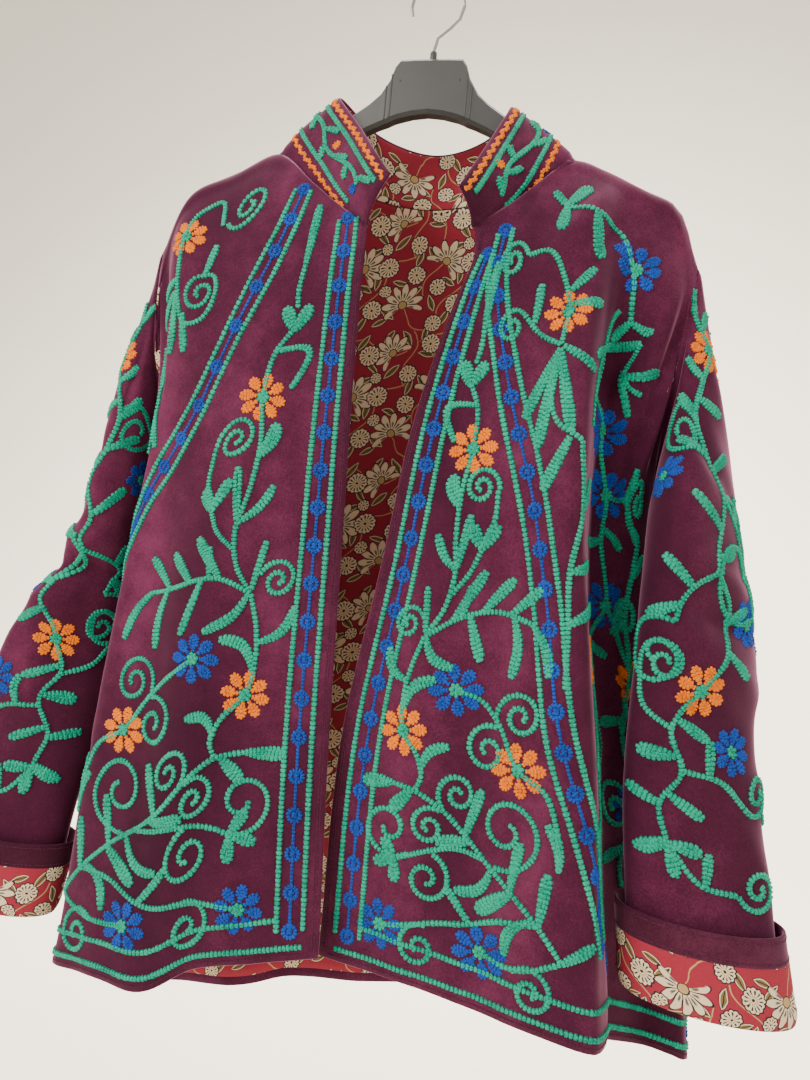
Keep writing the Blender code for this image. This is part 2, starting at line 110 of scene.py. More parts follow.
# Threads of the left front; its deep fold stands forward at the crest and turns in behind it
LEFT_FRONT = (
    ("edge", -238, -856,
     (58, 60, 62, 50, 28, 11, -10, -13),
     (-48, -49, -50, -54, -59, -60, -57, -53)),
    ("neckline", -194, -858,
     (100, 98, 96, 88, 78, 68, 58, 62),
     (-22, -28, -36, -50, -64, -70, -70, -66)),
    ("neck_point", -158, -861,
     (134, 133, 131, 127, 124, 122, 124, 134),
     (0, -6, -16, -38, -66, -82, -86, -85)),
    ("crest", -168, -864,
     (163, 163, 163, 163, 163, 167, 190, 212),
     (0, -6, -17, -44, -74, -91, -97, -100)),
    ("turn", -177, -871,
     (182, 182, 180, 177, 172, 173, 197, 221),
     (0, -6, -16, -36, -44, -50, -54, -66)),
    ("valley", -186, -893,
     (201, 200, 198, 190, 179, 179, 204, 229),
     (0, -6, -14, -30, -14, -8, -6, -25)),
    ("shoulder_end", -195, -908,
     (220, 219, 216, 207, 193, 195, 226, 254),
     (0, -6, -12, -27, -16, -2, 9, 4)),
    ("armhole_top", -250, -915,
     (246, 241, 236, 224, 207, 210, 244, 280),
     (0, -4, -9, -22, -16, 0, 14, 11)),
    ("armhole_front", -342, -921,
     (236, 232, 229, 223, 222, 241, 270, 296),
     (-20, -19, -17, -11, -1, 10, 19, 17)),
    ("side_seam", -440, -925,
     (226, 225, 225, 231, 246, 262, 284, 304),
     (12, 14, 16, 20, 24, 28, 30, 28)),
)
LEFT_FRONT_CELLS = (3, 3, 2, 2, 2, 1, 1, 4, 4)

# Threads of the back, from the left side seam to the right one
BACK = (
    ("armhole_left", -345, -928,
     (237, 233, 230, 226, 228, 243, 268, 294),
     (31, 32, 32, 34, 38, 43, 49, 48)),
    ("armhole_top_left", -250, -929,
     (246, 241, 236, 225, 211, 216, 238, 264),
     (0, 5, 12, 30, 42, 49, 57, 62)),
    ("shoulder_end_left", -195, -926,
     (220, 219, 217, 210, 196, 188, 192, 208),
     (0, 6, 14, 33, 46, 52, 55, 52)),
    ("shoulder_left", -168, -927,
     (163, 163, 161, 156, 148, 144, 150, 166),
     (0, 6, 17, 36, 50, 56, 61, 67)),
    ("neck_left", -158, -927,
     (134, 133, 132, 126, 118, 114, 112, 118),
     (0, 6, 18, 40, 54, 58, 54, 52)),
    ("nape_left", -174, -928,
     (72, 72, 71, 69, 64, 60, 58, 60),
     (44, 47, 50, 57, 62, 63, 63, 67)),
    ("nape", -184, -932,
     (0, 0, 0, 0, 0, 0, 0, 0),
     (58, 59, 61, 64, 66, 66, 63, 58)),
    ("nape_right", -172, -944,
     (-74, -74, -73, -70, -66, -62, -62, -66),
     (44, 47, 50, 57, 61, 62, 61, 65)),
    ("neck_right", -155, -958,
     (-137, -136, -135, -130, -122, -118, -120, -128),
     (0, 6, 18, 40, 54, 58, 54, 51)),
    ("shoulder_right", -173, -968,
     (-178, -177, -176, -170, -162, -158, -164, -180),
     (0, 6, 17, 36, 50, 56, 60, 62)),
    ("shoulder_end_right", -194, -970,
     (-220, -219, -217, -211, -202, -198, -206, -226),
     (0, 6, 14, 33, 46, 52, 56, 53)),
    ("armhole_top_right", -250, -967,
     (-246, -241, -236, -226, -214, -214, -232, -252),
     (0, 5, 12, 30, 42, 50, 57, 58)),
    ("armhole_right", -345, -962,
     (-237, -233, -230, -226, -225, -232, -248, -264),
     (32, 33, 33, 36, 42, 48, 55, 54)),
)
BACK_CELLS = (4, 4, 2, 4, 2, 3, 3, 3, 3, 2, 2, 2, 4, 4)
BACK_LINING_COLUMNS = (8, 34)
NAPE_CELL = 22

# Top edge of the collar above the neckline's own points: name, x, y, z
COLLAR_TOP = (
    ("front_left", 48, -75, -217),
    ("chest_left", 62, -38, -165),
    ("side_left", 74, 5, -111),
    ("nape_left", 52, 46, -119),
    ("nape", 0, 62, -128),
    ("nape_right", -55, 46, -117),
    ("side_right", -85, 5, -101),
    ("chest_right", -48, -38, -155),
    ("front_right", -13, -75, -207),
)
COLLAR_CELLS = (3, 3, 3, 3, 3, 3, 3, 3)
COLLAR_ROWS = 3
COLLAR_BULGE = 3.0

# Rings of each sleeve below its armhole.
# name, distance out from the middle, y, height, long half, short half, turn in degrees, slope
LEFT_SLEEVE = (
    ("head", 264, -6, -455, 67, 28, 70, 0.00),
    ("biceps", 267, -17, -512, 64, 29, 58, 0.00),
    ("elbow", 269, -34, -572, 60, 29, 42, 0.00),
    ("forearm", 268, -42, -634, 56, 27, 28, -0.02),
    ("lower", 274, -45, -696, 55, 27, 15, -0.05),
    ("wrist", 283, -47, -759, 56, 27, 8, -0.07),
    ("fold", 296, -48, -832, 61, 27, 4, -0.07),
)
RIGHT_SLEEVE = (
    ("head", 257, 8, -455, 58, 21, 92, 0.00),
    ("biceps", 259, 8, -510, 57, 23, 98, 0.02),
    ("elbow", 270, 4, -562, 57, 25, 114, 0.06),
    ("forearm", 291, -5, -618, 58, 27, 136, 0.08),
    ("lower", 313, -14, -698, 57, 27, 158, 0.08),
    ("wrist", 329, -20, -780, 57, 27, 172, 0.08),
    ("fold", 345, -24, -872, 61, 27, 178, 0.09),
)
SLEEVE_CELLS = (5, 2, 2, 2, 2, 2, 2)

# The turned-back cuff outside the sleeve: how far it stands off and how high each part is
CUFF_STANDOFF = 5.0
CUFF_LINING_HEIGHT = 42.0
CUFF_FACING_HEIGHT = 21.0
CUFF_WALL = 2.2
NEWTON_STEPS = 12
SLOPE_STEP = 0.25

# Small creases: their spread and height, mm
CREASE_BROAD = 55.0
CREASE_BROAD_HEIGHT = 1.6
CREASE_FINE = 18.0
CREASE_FINE_HEIGHT = 0.35

# How near to a seam the folds die away, mm, and how far a fold may turn the cloth's face
FOLD_FADE = 30.0
LEAST_AGREEMENT = 0.3

# How many cells of a wall's inner face an edge of outside cloth takes
TURNED_CELLS = 5

def spline(knots: Points, values: Points, at: Points) -> Points:
    """A smooth curve through the values, read at other places along its knots.

    Args:
        knots: where each value stands along the curve, rising.
        values: one value for each knot, of any shape.
        at: the places to read.

    Returns:
        One value for each place in at.
    """
    knots = np.asarray(knots, float)
    values = np.asarray(values, float)
    steps = np.diff(knots)
    shape = (-1,) + (1,) * (values.ndim - 1)
    slopes = np.diff(values, axis=0) / steps.reshape(shape)
    tangents = np.empty_like(values)
    tangents[0] = slopes[0]
    tangents[-1] = slopes[-1]
    before = steps[:-1].reshape(shape)
    after = steps[1:].reshape(shape)
    tangents[1:-1] = (slopes[:-1] * after + slopes[1:] * before) / (before + after)
    span = np.clip(np.searchsorted(knots, at, side="right") - 1, 0, len(steps) - 1)
    s = ((at - knots[span]) / steps[span]).reshape(shape)
    h = steps[span].reshape(shape)
    return (
        values[span] * (1 + 2 * s) * (1 - s) ** 2
        + tangents[span] * h * s * (1 - s) ** 2
        + values[span + 1] * s * s * (3 - 2 * s)
        + tangents[span + 1] * h * s * s * (s - 1)
    )


def divided(knots: Points, cells: Sequence[int], finer: int) -> Points:
    """The knots with each span split into equal cells, so many times finer than the solid's."""
    spans = zip(knots[:-1], knots[1:], cells)
    parts = [np.linspace(a, b, n * finer, endpoint=False) for a, b, n in spans]
    return np.concatenate(parts + [knots[-1:]])


def chord_knots(points: Points) -> Points:
    """Knots spaced as far apart as neighbouring rows of points are on the whole."""
    lengths = np.linalg.norm(np.diff(points, axis=0), axis=-1)
    if lengths.ndim > 1:
        lengths = lengths.mean(axis=1)
    return np.concatenate([[0.0], np.cumsum(lengths)])


def curve(points: Sequence, cells: Sequence[int], finer: int) -> Points:
    """A smooth line through the points, with so many cells in each span."""
    points = np.asarray(points, float)
    knots = chord_knots(points)
    return spline(knots, points, divided(knots, cells, finer))


def thread_points(thread: tuple) -> Points:
    """The places of one thread at each section."""
    _, top, hem, xs, ys = thread
    heights = [top + (hem - top) * drop for drop in DROPS]
    return np.column_stack([xs, ys, heights])


def top_points(threads: Sequence[tuple]) -> list[Points]:
    """The upper end of each thread."""
    return [thread_points(thread)[0] for thread in threads]


def joined(*curves: Points) -> Points:
    """Curves laid end to end, each sharing its first point with the one before."""
    return np.concatenate([curves[0]] + [piece[1:] for piece in curves[1:]])


def panel(threads: Sequence[tuple], cells: Sequence[int], top_edge: Points) -> Points:
    """A grid of points, columns across and rows down, hung from its own top edge."""
    keys = np.array([thread_points(thread) for thread in threads])
    drops = divided(np.array(DROPS), FINE_ROW_CELLS, 1)
    down = spline(DROPS, keys.transpose(1, 0, 2), drops).transpose(1, 0, 2)
    knots = chord_knots(keys)
    grid = spline(knots, down, divided(knots, cells, FINER_ACROSS))
    shift = top_edge - grid[:, 0]
    fade = np.clip(1.0 - drops / DROPS[1], 0.0, 1.0)
    return grid + shift[:, None] * fade[None, :, None]


def ring(row: tuple, side: int, count: int) -> Points:
    """One ring of a sleeve, from the outer side round by the front."""
    _, out, y, z, long_half, short_half, turn, slope = row
    angle = math.radians(turn)
    steps = -angle - 2 * math.pi * np.arange(count) / count
    along = long_half * np.cos(steps)
    across = short_half * np.sin(steps)
    dx = along * math.cos(angle) - across * math.sin(angle)
    dy = along * math.sin(angle) + across * math.cos(angle)
    return np.column_stack([side * (out + dx), y + dy, z + slope * dx])


def sleeve(armhole: Points, rows: Sequence[tuple], side: int) -> Points:
    """The sleeve's grid, its first ring being the armhole."""
    keys = [armhole] + [ring(row, side, len(armhole)) for row in rows]
    return curve(keys, SLEEVE_CELLS, FINER_DOWN).transpose(1, 0, 2)


def cuff_rings(rows: Sequence[tuple], side: int, count: int) -> tuple[Points, Points]:
    """The turned-back cuff from its fold up to its top edge: its lining, then its facing."""
    wrist = rows[-2]
    fold = rows[-1]

    def at(height: float, more: float) -> Points:
        """The sleeve's ring at a height above the fold, let out by so much."""
        share = height / (wrist[3] - fold[3])
        row = [a + (b - a) * share for a, b in zip(fold[1:], wrist[1:])]
        row[2] = fold[3] + height
        row[3] += more
        row[4] += more
        return ring(("cuff", *row), side, count)

    top = CUFF_LINING_HEIGHT + CUFF_FACING_HEIGHT
    lining = [
        at(-3.2, -1.5),
        at(-3.6, CUFF_STANDOFF - 1.0),
        at(0.0, CUFF_STANDOFF + 0.8),
        at(CUFF_LINING_HEIGHT * 0.5, CUFF_STANDOFF + 2.2),
        at(CUFF_LINING_HEIGHT, CUFF_STANDOFF + 3.0),
    ]
    facing = [
        at(CUFF_LINING_HEIGHT, CUFF_STANDOFF + 3.0),
        at(top - CUFF_FACING_HEIGHT * 0.5, CUFF_STANDOFF + 3.2),
        at(top, CUFF_STANDOFF + 4.0),
    ]
    fine = [curve(keys, [1] * (len(keys) - 1), FINER_DOWN) for keys in (lining, facing)]
    return fine[0].transpose(1, 0, 2), fine[1].transpose(1, 0, 2)


def collar(base: Points) -> Points:
    """The stand collar between the neckline and its own top edge, a little full between them."""
    top = curve([row[1:] for row in COLLAR_TOP], COLLAR_CELLS, FINER_ACROSS)
    out = base + (top - base) * 0.5 - np.array([0.0, 5.0, -150.0])
    out[:, 2] = 0.0
    out /= np.linalg.norm(out, axis=1)[:, None]
    rows = []
    for share in np.linspace(0.0, 1.0, COLLAR_ROWS * FINER_DOWN + 1):
        rows.append(base + (top - base) * share + out * COLLAR_BULGE * math.sin(math.pi * share))
    return np.array(rows).transpose(1, 0, 2)


class Side(Enum):
    """Which way a grid's cells face: FRONT as they are wound, BACK the other way."""

    FRONT = 1
    BACK = -1


@dataclass
class Cloth:
    """One piece of cloth as a fine grid of points on its outer face.

    The flat coordinates, in millimetres along the cloth, are what the embroidery is drawn in:
    across from its zero column, and up from its last row.
    """

    name: str
    grid: Points
    side: Side
    around: bool = False
    zero_column: int = 0
    normals: Points = field(init=False)
    across: Points = field(init=False)
    up: Points = field(init=False)

    def __post_init__(self) -> None:
        self.measure()

    def closed(self) -> Points:
        """The grid with its first column repeated at the end where it goes around."""
        return np.concatenate([self.grid, self.grid[:1]]) if self.around else self.grid

    def measure(self) -> None:
        """Works out the flat coordinates and the normals from the grid as it now is."""
        grid = self.closed()
        steps = np.linalg.norm(np.diff(grid, axis=0), axis=2)
        across = np.concatenate([np.zeros((1, grid.shape[1])), np.cumsum(steps, axis=0)])
        across -= across[self.zero_column].copy()
        drops = np.linalg.norm(np.diff(grid, axis=1), axis=2)
        down = np.concatenate([np.zeros((grid.shape[0], 1)), np.cumsum(drops, axis=1)], axis=1)
        self.across = across
        self.up = down[:, -1:] - down
        self.normals = self.outward()

    def outward(self) -> Points:
        """The unit normal at each grid point, out of the cloth's outer face."""
        grid = self.closed()
        du = np.gradient(grid, axis=0)
        if self.around:
            seam = (grid[1] - grid[-2]) / 2
            du[0] = seam
            du[-1] = seam
        dv = np.gradient(grid, axis=1)
        normal = np.cross(dv, du) * self.side.value
        normal /= np.maximum(np.linalg.norm(normal, axis=2), 1e-9)[:, :, None]
        return normal[:-1] if self.around else normal

    def read(self, values: Points, places: Points) -> Points:
        """Grid values read between the grid points, at places given as column and row."""
        if self.around and len(values) == len(self.grid):
            values = np.concatenate([values, values[:1]])
        last = np.array(values.shape[:2]) - 1
        held = np.clip(places, 0, last)
        low = np.minimum(held.astype(int), last - 1)
        f = held - low
        i, j = low[:, 0], low[:, 1]
        shape = (-1,) + (1,) * (values.ndim - 2)
        a, b = f[:, 0].reshape(shape), f[:, 1].reshape(shape)
        upper = values[i, j] * (1 - a) + values[i + 1, j] * a
        lower = values[i, j + 1] * (1 - a) + values[i + 1, j + 1] * a
        return upper * (1 - b) + lower * b

    def locate(self, flat: Points) -> Points:
        """The column and row of each place given in flat coordinates."""
        columns, rows = self.across.shape
        flat = np.asarray(flat, float)
        tree = kdtree.KDTree(columns * rows)
        for index, place in enumerate(zip(self.across.ravel(), self.up.ravel())):
            tree.insert((*place, 0.0), index)
        tree.balance()
        nearest = [tree.find((*place, 0.0))[1] for place in flat]
        places = np.stack(np.divmod(nearest, rows), axis=1).astype(float)
        for _ in range(NEWTON_STEPS):
            off_x = flat[:, 0] - self.read(self.across, places)
            off_y = flat[:, 1] - self.read(self.up, places)
            xx, xy = self.slopes(self.across, places)
            yx, yy = self.slopes(self.up, places)
            size = xx * yy - xy * yx
            size = np.where(np.abs(size) < 1e-6, 1e-6, size)
            places[:, 0] += np.clip((off_x * yy - off_y * xy) / size, -1.0, 1.0)
            places[:, 1] += np.clip((off_y * xx - off_x * yx) / size, -1.0, 1.0)
            places = np.clip(places, 0, (columns - 1, rows - 1))
        return places

    def slopes(self, values: Points, places: Points) -> tuple[Points, Points]:
        """How fast grid values change along the columns and along the rows."""
        last = np.array(self.across.shape) - 1.0
        found = []
        for step in ((SLOPE_STEP, 0.0), (0.0, SLOPE_STEP)):
            ahead = np.clip(places + step, 0, last)
            back = np.clip(places - step, 0, last)
            rise = self.read(values, ahead) - self.read(values, back)
            run = (ahead - back).sum(axis=1)
            found.append(rise / run.reshape((-1,) + (1,) * (values.ndim - 2)))
        return found[0], found[1]

    def evening(self, flat: Points) -> Points:
        """The matrix that keeps a small round shape round on the cloth at a flat place."""
        place = self.locate([flat])
        along = np.stack(self.slopes(self.grid, place), axis=-1)[0]
        across = np.stack([self.slopes(values, place) for values in (self.across, self.up)])[:, :, 0]
        to_cloth = along @ np.linalg.pinv(across)
        sizes, axes = np.linalg.eigh(to_cloth.T @ to_cloth)
        return axes @ np.diag(1 / np.sqrt(np.clip(sizes, 0.25, 4.0))) @ axes.T


def garment_cloths() -> dict[str, Cloth]:
    """All the pieces of cloth that are cut and sewn, each seam line drawn once for both sides."""
    left_tops = top_points(LEFT_FRONT)
    right_tops = top_points(RIGHT_FRONT)
    back_tops = top_points(BACK)
    fine = FINER_ACROSS
    neck_points = left_tops[:3] + back_tops[5:8] + right_tops[2::-1]
    neckline = curve(neck_points, COLLAR_CELLS, fine)
    left_neck = neckline[: sum(LEFT_FRONT_CELLS[:2]) * fine + 1]
    right_neck = neckline[::-1][: sum(RIGHT_FRONT_CELLS[:2]) * fine + 1]
    back_neck = neckline[len(left_neck) - 1 : len(neckline) - len(right_neck) + 1]
    left_shoulder = curve(left_tops[2:8], LEFT_FRONT_CELLS[2:7], fine)
    left_arm_front = curve(left_tops[7:], LEFT_FRONT_CELLS[7:], fine)
    right_shoulder = curve(right_tops[2:6], RIGHT_FRONT_CELLS[2:5], fine)
    right_arm_front = curve(right_tops[5:], RIGHT_FRONT_CELLS[5:], fine)
    left_arm_back = curve([left_tops[-1]] + back_tops[:2], BACK_CELLS[:2], fine)
    right_arm_back = curve(back_tops[11:] + [right_tops[-1]], BACK_CELLS[12:], fine)

    left_top = joined(left_neck, left_shoulder, left_arm_front)
    left_front = panel(LEFT_FRONT, LEFT_FRONT_CELLS, left_top)
    right_top = joined(right_neck, right_shoulder, right_arm_front)
    right_front = panel(RIGHT_FRONT, RIGHT_FRONT_CELLS, right_top)
    back_top = joined(left_arm_back, left_shoulder[::-1], back_neck, right_shoulder, right_arm_back)
    back = panel((LEFT_FRONT[-1],) + BACK + (RIGHT_FRONT[-1],), BACK_CELLS, back_top)
    back[0] = left_front[-1]
    back[-1] = right_front[-1]
    left_sleeve = sleeve(joined(left_arm_front, left_arm_back)[:-1], LEFT_SLEEVE, 1)
    right_sleeve = sleeve(joined(right_arm_front, right_arm_back[::-1])[:-1], RIGHT_SLEEVE, -1)
    half_round = len(left_sleeve) // 2
    return {
        "left_front": Cloth("left_front", left_front, Side.FRONT),
        "right_front": Cloth("right_front", right_front, Side.BACK),
        "back": Cloth("back", back, Side.FRONT, zero_column=NAPE_CELL * fine),
        "collar": Cloth("collar", collar(neckline), Side.BACK, zero_column=len(neckline) // 2),
        "left_sleeve": Cloth(
            "left_sleeve", np.roll(left_sleeve, half_round, axis=0), Side.BACK, True, half_round
        ),
        "right_sleeve": Cloth(
            "right_sleeve", np.roll(right_sleeve, half_round, axis=0), Side.FRONT, True, half_round
        ),
    }


def seam_groups(cloths: Iterable[Cloth]) -> list[list[tuple[Cloth, int, int]]]:
    """The grid points that lie on one another where pieces of cloth are sewn together."""
    found = {}
    for cloth in cloths:
        keys = np.round(cloth.grid * 1000).astype(np.int64)
        for i, k in np.ndindex(keys.shape[:2]):
            found.setdefault(tuple(keys[i, k]), []).append((cloth, i, k))
    return [group for group in found.values() if len(group) > 1]


def share_normals(groups: Sequence[Sequence[tuple[Cloth, int, int]]]) -> None:
    """Gives the points of each group one normal, so that a seam's two walls stay together."""
    for group in groups:
        shared = unit(sum(cloth.normals[i, k] for cloth, i, k in group))
        for cloth, i, k in group:
            cloth.normals[i, k] = shared


@dataclass(frozen=True)
class Fold:
    """A soft ridge or dent in a piece of cloth.

    Attributes:
        across, up: its middle in flat coordinates, mm.
        turn: its direction, degrees from the cloth's width towards its top.
        length, width: how far it runs and how broad it is, mm.
        height: how far it stands out, or in where it is below nought, mm.
    """

    across: float
    up: float
    turn: float
    length: float
    width: float
    height: float

    def lift(self, across: Points, up: Points) -> Points:
        """How far the fold moves each place out of the cloth's face, mm."""
        angle = math.radians(self.turn)
        dx, dy = across - self.across, up - self.up
        along = (dx * math.cos(angle) + dy * math.sin(angle)) / (self.length / 2)
        aside = (-dx * math.sin(angle) + dy * math.cos(angle)) / (self.width / 2)
        taper = np.clip(1 - along**2, 0, None) ** 2
        return self.height * taper * np.exp(-(aside**2) * 2)


def rumpled(cloth: Cloth, folds: Sequence[Fold], seams: Sequence[str], seed: float) -> None:
    """Gives a cloth its folds and small creases, and lets its seams sink in.

    Args:
        cloth: the piece, whose grid is changed.
        folds: its own folds.
        seams: the edges that are sewn to other cloth.
        seed: where in the noise this cloth's creases are read.
    """
    around = cloth.around
    across = cloth.across[:-1] if around else cloth.across
    up = cloth.up[:-1] if around else cloth.up
    lift = np.zeros(across.shape)
    for fold in folds:
        lift += fold.lift(across, up)
    for edge in seams:
        lift *= 1 - np.exp(-((edge_distance(cloth, edge) / FOLD_FADE) ** 2))
    for index in np.ndindex(across.shape):
        place = Vector(cloth.grid[index]) + Vector((seed * 400.0, 0.0, 0.0))
        broad = Vector((place.x, place.y, place.z * 0.45)) / CREASE_BROAD
        fine = Vector((place.x, place.y, place.z * 0.6)) / CREASE_FINE
        lift[index] += noise.noise(broad) * CREASE_BROAD_HEIGHT
        lift[index] += noise.noise(fine) * CREASE_FINE_HEIGHT
    sink = np.zeros(across.shape)
    for edge in seams:
        sink = np.maximum(sink, np.exp(-((edge_distance(cloth, edge) / SEAM_SINK_WIDTH) ** 2)))
    before = cloth.normals
    cloth.grid = cloth.grid + before * (lift * (1 - sink) - sink * SEAM_SINK)[:, :, None]
    cloth.measure()
    agree = np.sum(before * cloth.normals, axis=2, keepdims=True)
    cloth.normals = np.where(agree > LEAST_AGREEMENT, cloth.normals, before)


def edge_distance(cloth: Cloth, edge: str) -> Points:
    """How far each grid point lies from the named edge, along the cloth, mm."""
    across = cloth.across[:-1] if cloth.around else cloth.across
    up = cloth.up[:-1] if cloth.around else cloth.up
    if edge == "top":
        return up[:, :1] - up
    if edge == "bottom":
        return up
    if edge == "first":
        return across - across[:1]
    return across[-1:] - across


# Each piece's soft folds: across, up, turn, length, width and height
FOLDS = {
    "right_front": (
        Fold(112, 330, 91, 640, 84, 6.0),
        Fold(176, 300, 87, 560, 60, -5.0),
        Fold(242, 290, 90, 600, 80, 7.0),
        Fold(312, 260, 93, 520, 62, -6.0),
        Fold(362, 300, 88, 500, 54, 5.0),
        Fold(60, 560, 82, 300, 56, -3.0),
        Fold(198, 610, 62, 250, 66, 5.0),
        Fold(250, 575, 68, 260, 48, -5.0),
        Fold(318, 500, 78, 220, 44, -4.0),
        Fold(86, 50, 94, 190, 60, 4.0),
        Fold(150, 40, 86, 160, 46, -4.0),
        Fold(214, 36, 92, 170, 50, 4.5),
        Fold(286, 40, 88, 150, 44, -4.0),
        Fold(40, 655, 50, 90, 26, -2.0),
        Fold(270, 190, 8, 160, 40, -1.8),
    ),
    "left_front": (
        Fold(28, 668, 74, 90, 15, 2.6),
        Fold(43, 662, 68, 96, 14, -2.8),
        Fold(58, 664, 62, 84, 14, 2.2),
        Fold(74, 660, 58, 90, 16, -2.0),
        Fold(128, 640, 66, 200, 34, 6.0),
        Fold(150, 620, 70, 240, 30, -7.0),
        Fold(214, 560, 80, 240, 34, -6.0),
        Fold(236, 590, 84, 280, 36, 8.0),
        Fold(270, 560, 88, 280, 32, -6.0),
        Fold(302, 560, 92, 240, 34, 6.0),
        Fold(62, 270, 92, 440, 62, 4.5),
        Fold(118, 250, 88, 480, 50, -4.5),
        Fold(172, 200, 84, 380, 54, 4.0),
        Fold(52, 470, 84, 260, 44, -3.0),
        Fold(330, 240, 90, 470, 56, 6.0),
        Fold(384, 250, 89, 430, 46, -6.0),
        Fold(70, 40, 92, 150, 50, 3.5),
        Fold(140, 36, 88, 150, 44, -3.5),
        Fold(262, 40, 90, 170, 46, 4.0),
        Fold(310, 44, 91, 160, 40, -4.0),
    ),
    "back": (
        Fold(-312, 300, 92, 520, 60, 7.0),
        Fold(-252, 330, 88, 620, 58, -7.0),
        Fold(-184, 320, 91, 640, 74, 8.0),
        Fold(-108, 280, 89, 520, 60, -6.0),
        Fold(-30, 330, 90, 660, 80, 6.0),
        Fold(44, 290, 92, 540, 58, -6.5),
        Fold(120, 330, 88, 640, 72, 7.5),
        Fold(196, 300, 91, 600, 62, -7.0),
        Fold(266, 320, 89, 560, 64, 7.0),
        Fold(322, 280, 92, 460, 46, -5.0),
        Fold(-150, 690, 64, 200, 60, -4.0),
        Fold(150, 694, 116, 210, 56, -4.0),
        Fold(-236, 640, 74, 180, 44, 4.0),
        Fold(240, 640, 106, 180, 44, 4.0),
        Fold(0, 742, 4, 220, 34, -2.5),
        Fold(-20, 706, -5, 260, 36, 2.5),
        Fold(-210, 40, 92, 150, 54, 4.0),
        Fold(-70, 46, 88, 160, 50, -4.0),
        Fold(80, 40, 91, 160, 52, 4.0),
        Fold(230, 44, 89, 150, 50, -4.0),
    ),
    "left_sleeve": (
        Fold(46, 330, 18, 150, 34, 4.0),
        Fold(56, 296, 12, 160, 26, -4.5),
        Fold(44, 262, 24, 140, 32, 4.0),
        Fold(64, 224, 30, 120, 26, -3.5),
        Fold(30, 180, 20, 150, 36, 3.5),
        Fold(24, 500, 78, 180, 46, 5.0),
        Fold(66, 480, 86, 200, 34, -5.0),
        Fold(40, 408, 40, 140, 34, -3.5),
        Fold(20, 120, 62, 150, 40, 3.5),
        Fold(-50, 340, -18, 150, 34, 4.0),
        Fold(-60, 300, -10, 160, 26, -4.5),
        Fold(-46, 258, -24, 150, 32, 4.0),
        Fold(-70, 210, -20, 120, 26, -3.5),
        Fold(-36, 480, 94, 200, 44, 5.0),
        Fold(-80, 470, 88, 180, 34, -4.0),
        Fold(-40, 120, -60, 150, 40, 3.5),
        Fold(-110, 330, 12, 90, 30, -3.0),
        Fold(146, 380, 90, 380, 120, 9.0),
        Fold(-146, 380, 90, 380, 120, 9.0),
    ),
    "right_sleeve": (
        Fold(40, 360, -16, 150, 34, 4.5),
        Fold(58, 326, -10, 160, 26, -5.0),
        Fold(48, 290, -22, 140, 32, 4.5),
        Fold(66, 250, -28, 120, 26, -4.0),
        Fold(34, 200, -18, 150, 36, 4.0),
        Fold(24, 540, 96, 190, 46, 5.0),
        Fold(66, 520, 88, 200, 34, -5.0),
        Fold(36, 446, -34, 140, 34, -4.0),
        Fold(24, 130, -58, 150, 40, 4.0),
        Fold(70, 90, -30, 110, 28, -3.5),
        Fold(-46, 370, 16, 150, 34, 4.0),
        Fold(-60, 330, 10, 160, 26, -4.5),
        Fold(-50, 286, 22, 150, 32, 4.0),
        Fold(-74, 236, 18, 120, 26, -3.5),
        Fold(-36, 520, 84, 200, 44, 5.0),
        Fold(-80, 500, 92, 180, 34, -4.0),
        Fold(-44, 130, 58, 150, 40, 3.5),
        Fold(-108, 350, -12, 90, 30, -3.0),
    ),
}


def add_mesh(name: str, points: Points, faces: Sequence, materials: Sequence) -> bpy.types.Object:
    """A new mesh object from points in millimetres, smooth all over, riding on the jacket."""
    mesh = bpy.data.meshes.new(name)
    mesh.from_pydata((np.asarray(points) * MM).tolist(), [], faces)
    for stuff in materials:
        mesh.materials.append(stuff)
    mesh.polygons.foreach_set("use_smooth", np.ones(len(mesh.polygons), bool))
    mesh.update()
    piece = bpy.data.objects.new(name, mesh)
    bpy.context.scene.collection.objects.link(piece)
    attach(piece, BODY)
    log.info("%s: %d faces", name, len(mesh.polygons))
    return piece


